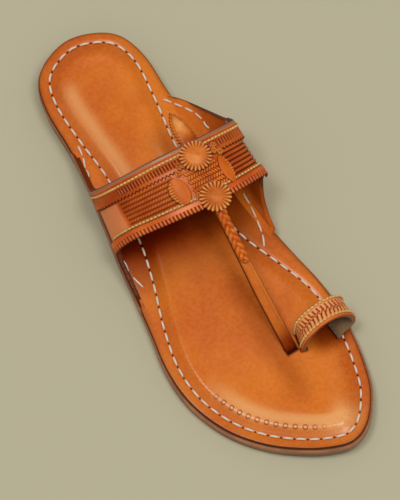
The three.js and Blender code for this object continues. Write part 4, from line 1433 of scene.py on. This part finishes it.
def loop_relief(run, from_back, width):
    """Tooling of the toe loop's face between its two cords: two rows of leaning bars on either side of
    a zigzag. Gives height and mark."""
    middle = (from_back - 1.9) / (width - 4.5)
    zig = middle + 0.12 * zigzag(run, 2.6)
    line = np.exp(-(((zig - 0.5) / 0.06) ** 2))
    lean = 0.8 * np.abs(middle - 0.5)
    rows = window(middle, 0.08, 0.41, 0.05) + window(middle, 0.59, 0.92, 0.05)
    bars = np.clip(np.cos(2 * np.pi * (run / 2.3 + lean)), 0, 1) * rows
    deep = np.clip(line * 0.9 + bars, 0, 1) * window(middle, 0.03, 0.97, 0.03)
    return -0.45 * deep, deep


def add_toe_loop():
    """The big-toe loop: tooled leather outside, a suede lining inside, and a rolled front lip."""
    t, run = along_rows(TOE_LOOP, 0, len(TOE_LOOP["x"]) - 1, 0.32)
    v = edge_lanes(40, -1, 1, fine=0.012)[None, :]
    width = column(TOE_LOOP, "width", t)[:, None]
    across = width / 2 * v
    from_back = across + width / 2
    near = np.minimum(from_back, width - from_back)
    relief, deep = loop_relief(run[:, None], from_back, width)
    lip = 0.45 * np.exp(-(((width - from_back - 0.8) / 0.7) ** 2))
    lift = LOOP_THICKNESS / 2 - rounding(near, 0.45) + relief + lip
    rows = np.broadcast_to(t[:, None], across.shape)
    uv = np.stack([np.broadcast_to(run[:, None], across.shape), from_back], -1)
    # painted highlight: paler between the tooled marks across the middle of the face
    sheet("toe_loop_leather", strap_surface(TOE_LOOP, rows, across, lift, LENGTHWISE),
          strap_surface(TOE_LOOP, rows, across, 0.0, LENGTHWISE), uv, [LOOP_GRAIN, STRAP_GRAIN, FLESH],
          ["toe_loop"],
          marks={"tooling_and_shade": deep, "wear_and_highlight": 0.5 * (1 - deep) * window(from_back / width, 0.16, 0.76, 0.04),
                 "edge": 0.5 * np.exp(-((near / 0.4) ** 2))})
    inner = across * 0.985
    sheet("toe_loop_lining", strap_surface(TOE_LOOP, rows, inner, -0.06, LENGTHWISE),
          strap_surface(TOE_LOOP, rows, inner, -LOOP_THICKNESS / 2 + rounding(near, 0.4), LENGTHWISE),
          uv, [LINING, LINING, LINING])


def loop_cord(name, from_edge, side):
    """A beaded gold cord along the toe loop, from_edge millimetres in from one side."""
    t = along_rows(TOE_LOOP, 1.2, 9.4, 0.26)[0]
    across = side * (column(TOE_LOOP, "width", t) / 2 - from_edge)
    lift = LOOP_THICKNESS / 2 + 0.12
    path = strap_surface(TOE_LOOP, t, across, lift, LENGTHWISE)
    beads(name, path, strap_surface(TOE_LOOP, t, across, lift + 1, LENGTHWISE) - path, 2.3, 0.68)


add_toe_loop()
loop_cord("loop_gold_cord_back", 1.1, -1)
loop_cord("loop_gold_cord_front", 2.1, 1)

# ---- ear stitches ----


# Pitch, share of it that a stitch covers, and the line in plan.
EAR_STITCH_LINES = {
    "lateral_back": (7.0, 0.92, [(24.6, 53), (25.6, 60), (28, 66.8), (29.4, 74.5)]),
    "lateral_front": (10.8, 0.76, [(34.3, 135.4), (36.2, 128), (36.9, 121), (36.7, 113)]),
    "medial_back": (6.4, 0.86, [(-24.4, 54), (-27.5, 58.6), (-31.2, 65), (-34.6, 72.5), (-35.4, 80),
                                (-36, 87)]),
    "medial_front": (7.8, 0.92, [(-27.6, 147.6), (-30.4, 141.6), (-32, 134.2), (-33, 127.2), (-33.6, 115.5)]),
}


def leather_face(plan):
    """Height and upward normal of the leather seen from above at places in plan: the ear's inner face
    where it stands over the footbed's margin, and the margin elsewhere."""
    margin = deck(plan[:, 1]) + GAP + FOOTBED_THICKNESS
    rows = np.linspace(*EAR_ROWS, 700)
    rows = rows[(rows < 5.6) | (rows > 16.2)]
    t, share = np.meshgrid(rows, np.linspace(0, 1, 160), indexing="ij")
    face = on_band(t, share, -STRAP_WALL).reshape(-1, 3)
    normal = unit(on_band(t, share, -STRAP_WALL - 1) - on_band(t, share, -STRAP_WALL)).reshape(-1, 3)
    far = np.linalg.norm(face[None, :, :2] - plan[:, None], axis=-1)
    nearest = np.argmin(far, axis=1)
    on_ear = (far[np.arange(len(plan)), nearest] < 0.8) & (face[nearest, 2] > margin)
    height = np.where(on_ear, face[nearest, 2], margin)
    up = np.where(on_ear[:, None], normal[nearest], [0.0, 0.0, 1.0])
    return height, up


def ear_stitches(name, pitch, share, line):
    """Long stitches from the footbed's stitch line up on to an ear, along a spline in plan."""
    rows = table("x y", line)
    t = np.linspace(0, len(line) - 1, 160)
    plan = np.stack([column(rows, "x", t), column(rows, "y", t)], -1)
    height, normal = leather_face(plan)
    even = np.ones(25) / 25
    smooth = [np.convolve(np.pad(v, 12, mode="edge"), even, mode="valid") for v in (height, *normal.T)]
    height, normal = smooth[0], np.stack(smooth[1:], -1)
    length, path, up = follow(np.column_stack([plan, height + STITCH_LIFT]), normal)
    starts = np.arange(int(length / pitch)) * pitch
    stitches(name, path, up, starts, pitch, share, 0.5, 0.45)


for place, how in EAR_STITCH_LINES.items():
    ear_stitches("ear_stitches_" + place, *how)

# ---- stage ----


def add_floor():
    """A plain pale floor."""
    half = 3.0
    mesh = bpy.data.meshes.new("floor")
    corners = [(-half, -half, 0), (half, -half, 0), (half, half, 0), (-half, half, 0)]
    mesh.from_pydata(corners, [], [(0, 1, 2, 3)])
    floor = bpy.data.objects.new("floor", mesh)
    bpy.context.scene.collection.objects.link(floor)
    material, tree, shader = start_material("studio_floor")
    place = add_node(tree, "ShaderNodeTexCoord").outputs["Object"]
    noise = add_node(tree, "ShaderNodeTexNoise", {"Vector": place, "Scale": 2.5, "Detail": 3.0})
    colour = mix_colour(tree, noise.outputs["Fac"], tint(180, 174, 146), tint(186, 179, 152))
    tree.links.new(colour, shader.inputs["Base Color"])
    shader.inputs["Roughness"].default_value = 0.85
    shader.inputs["Specular IOR Level"].default_value = 0.15
    mesh.materials.append(material)


def add_light(name, place, aim, size, power, colour=(1.0, 1.0, 1.0)):
    """A square soft light that faces its aim."""
    data = bpy.data.lights.new(name, "AREA")
    data.shape = "SQUARE"
    data.size = size
    data.energy = power
    data.color = colour
    light = bpy.data.objects.new(name, data)
    bpy.context.scene.collection.objects.link(light)
    turn = (Vector(aim) - Vector(place)).to_track_quat("-Z", "Y")
    light.matrix_world = Matrix.Translation(place) @ turn.to_matrix().to_4x4()


def add_studio():
    """Even daylight from all round, a broad key over the heel side and a smaller light by the toe."""
    world = bpy.data.worlds.new("studio")
    world.use_nodes = True
    background = world.node_tree.nodes["Background"]
    background.inputs["Color"].default_value = (1.0, 0.985, 0.96, 1.0)
    background.inputs["Strength"].default_value = 0.39
    bpy.context.scene.world = world
    add_light("key", (-0.25, 0.3, 1.5), (0, 0, 0), 0.5, 8)
    add_light("overhead", (0.3, -0.12, 1.5), (0, 0, 0), 0.42, 7)
    bpy.context.scene.view_settings.view_transform = "Standard"


add_floor()
add_studio()
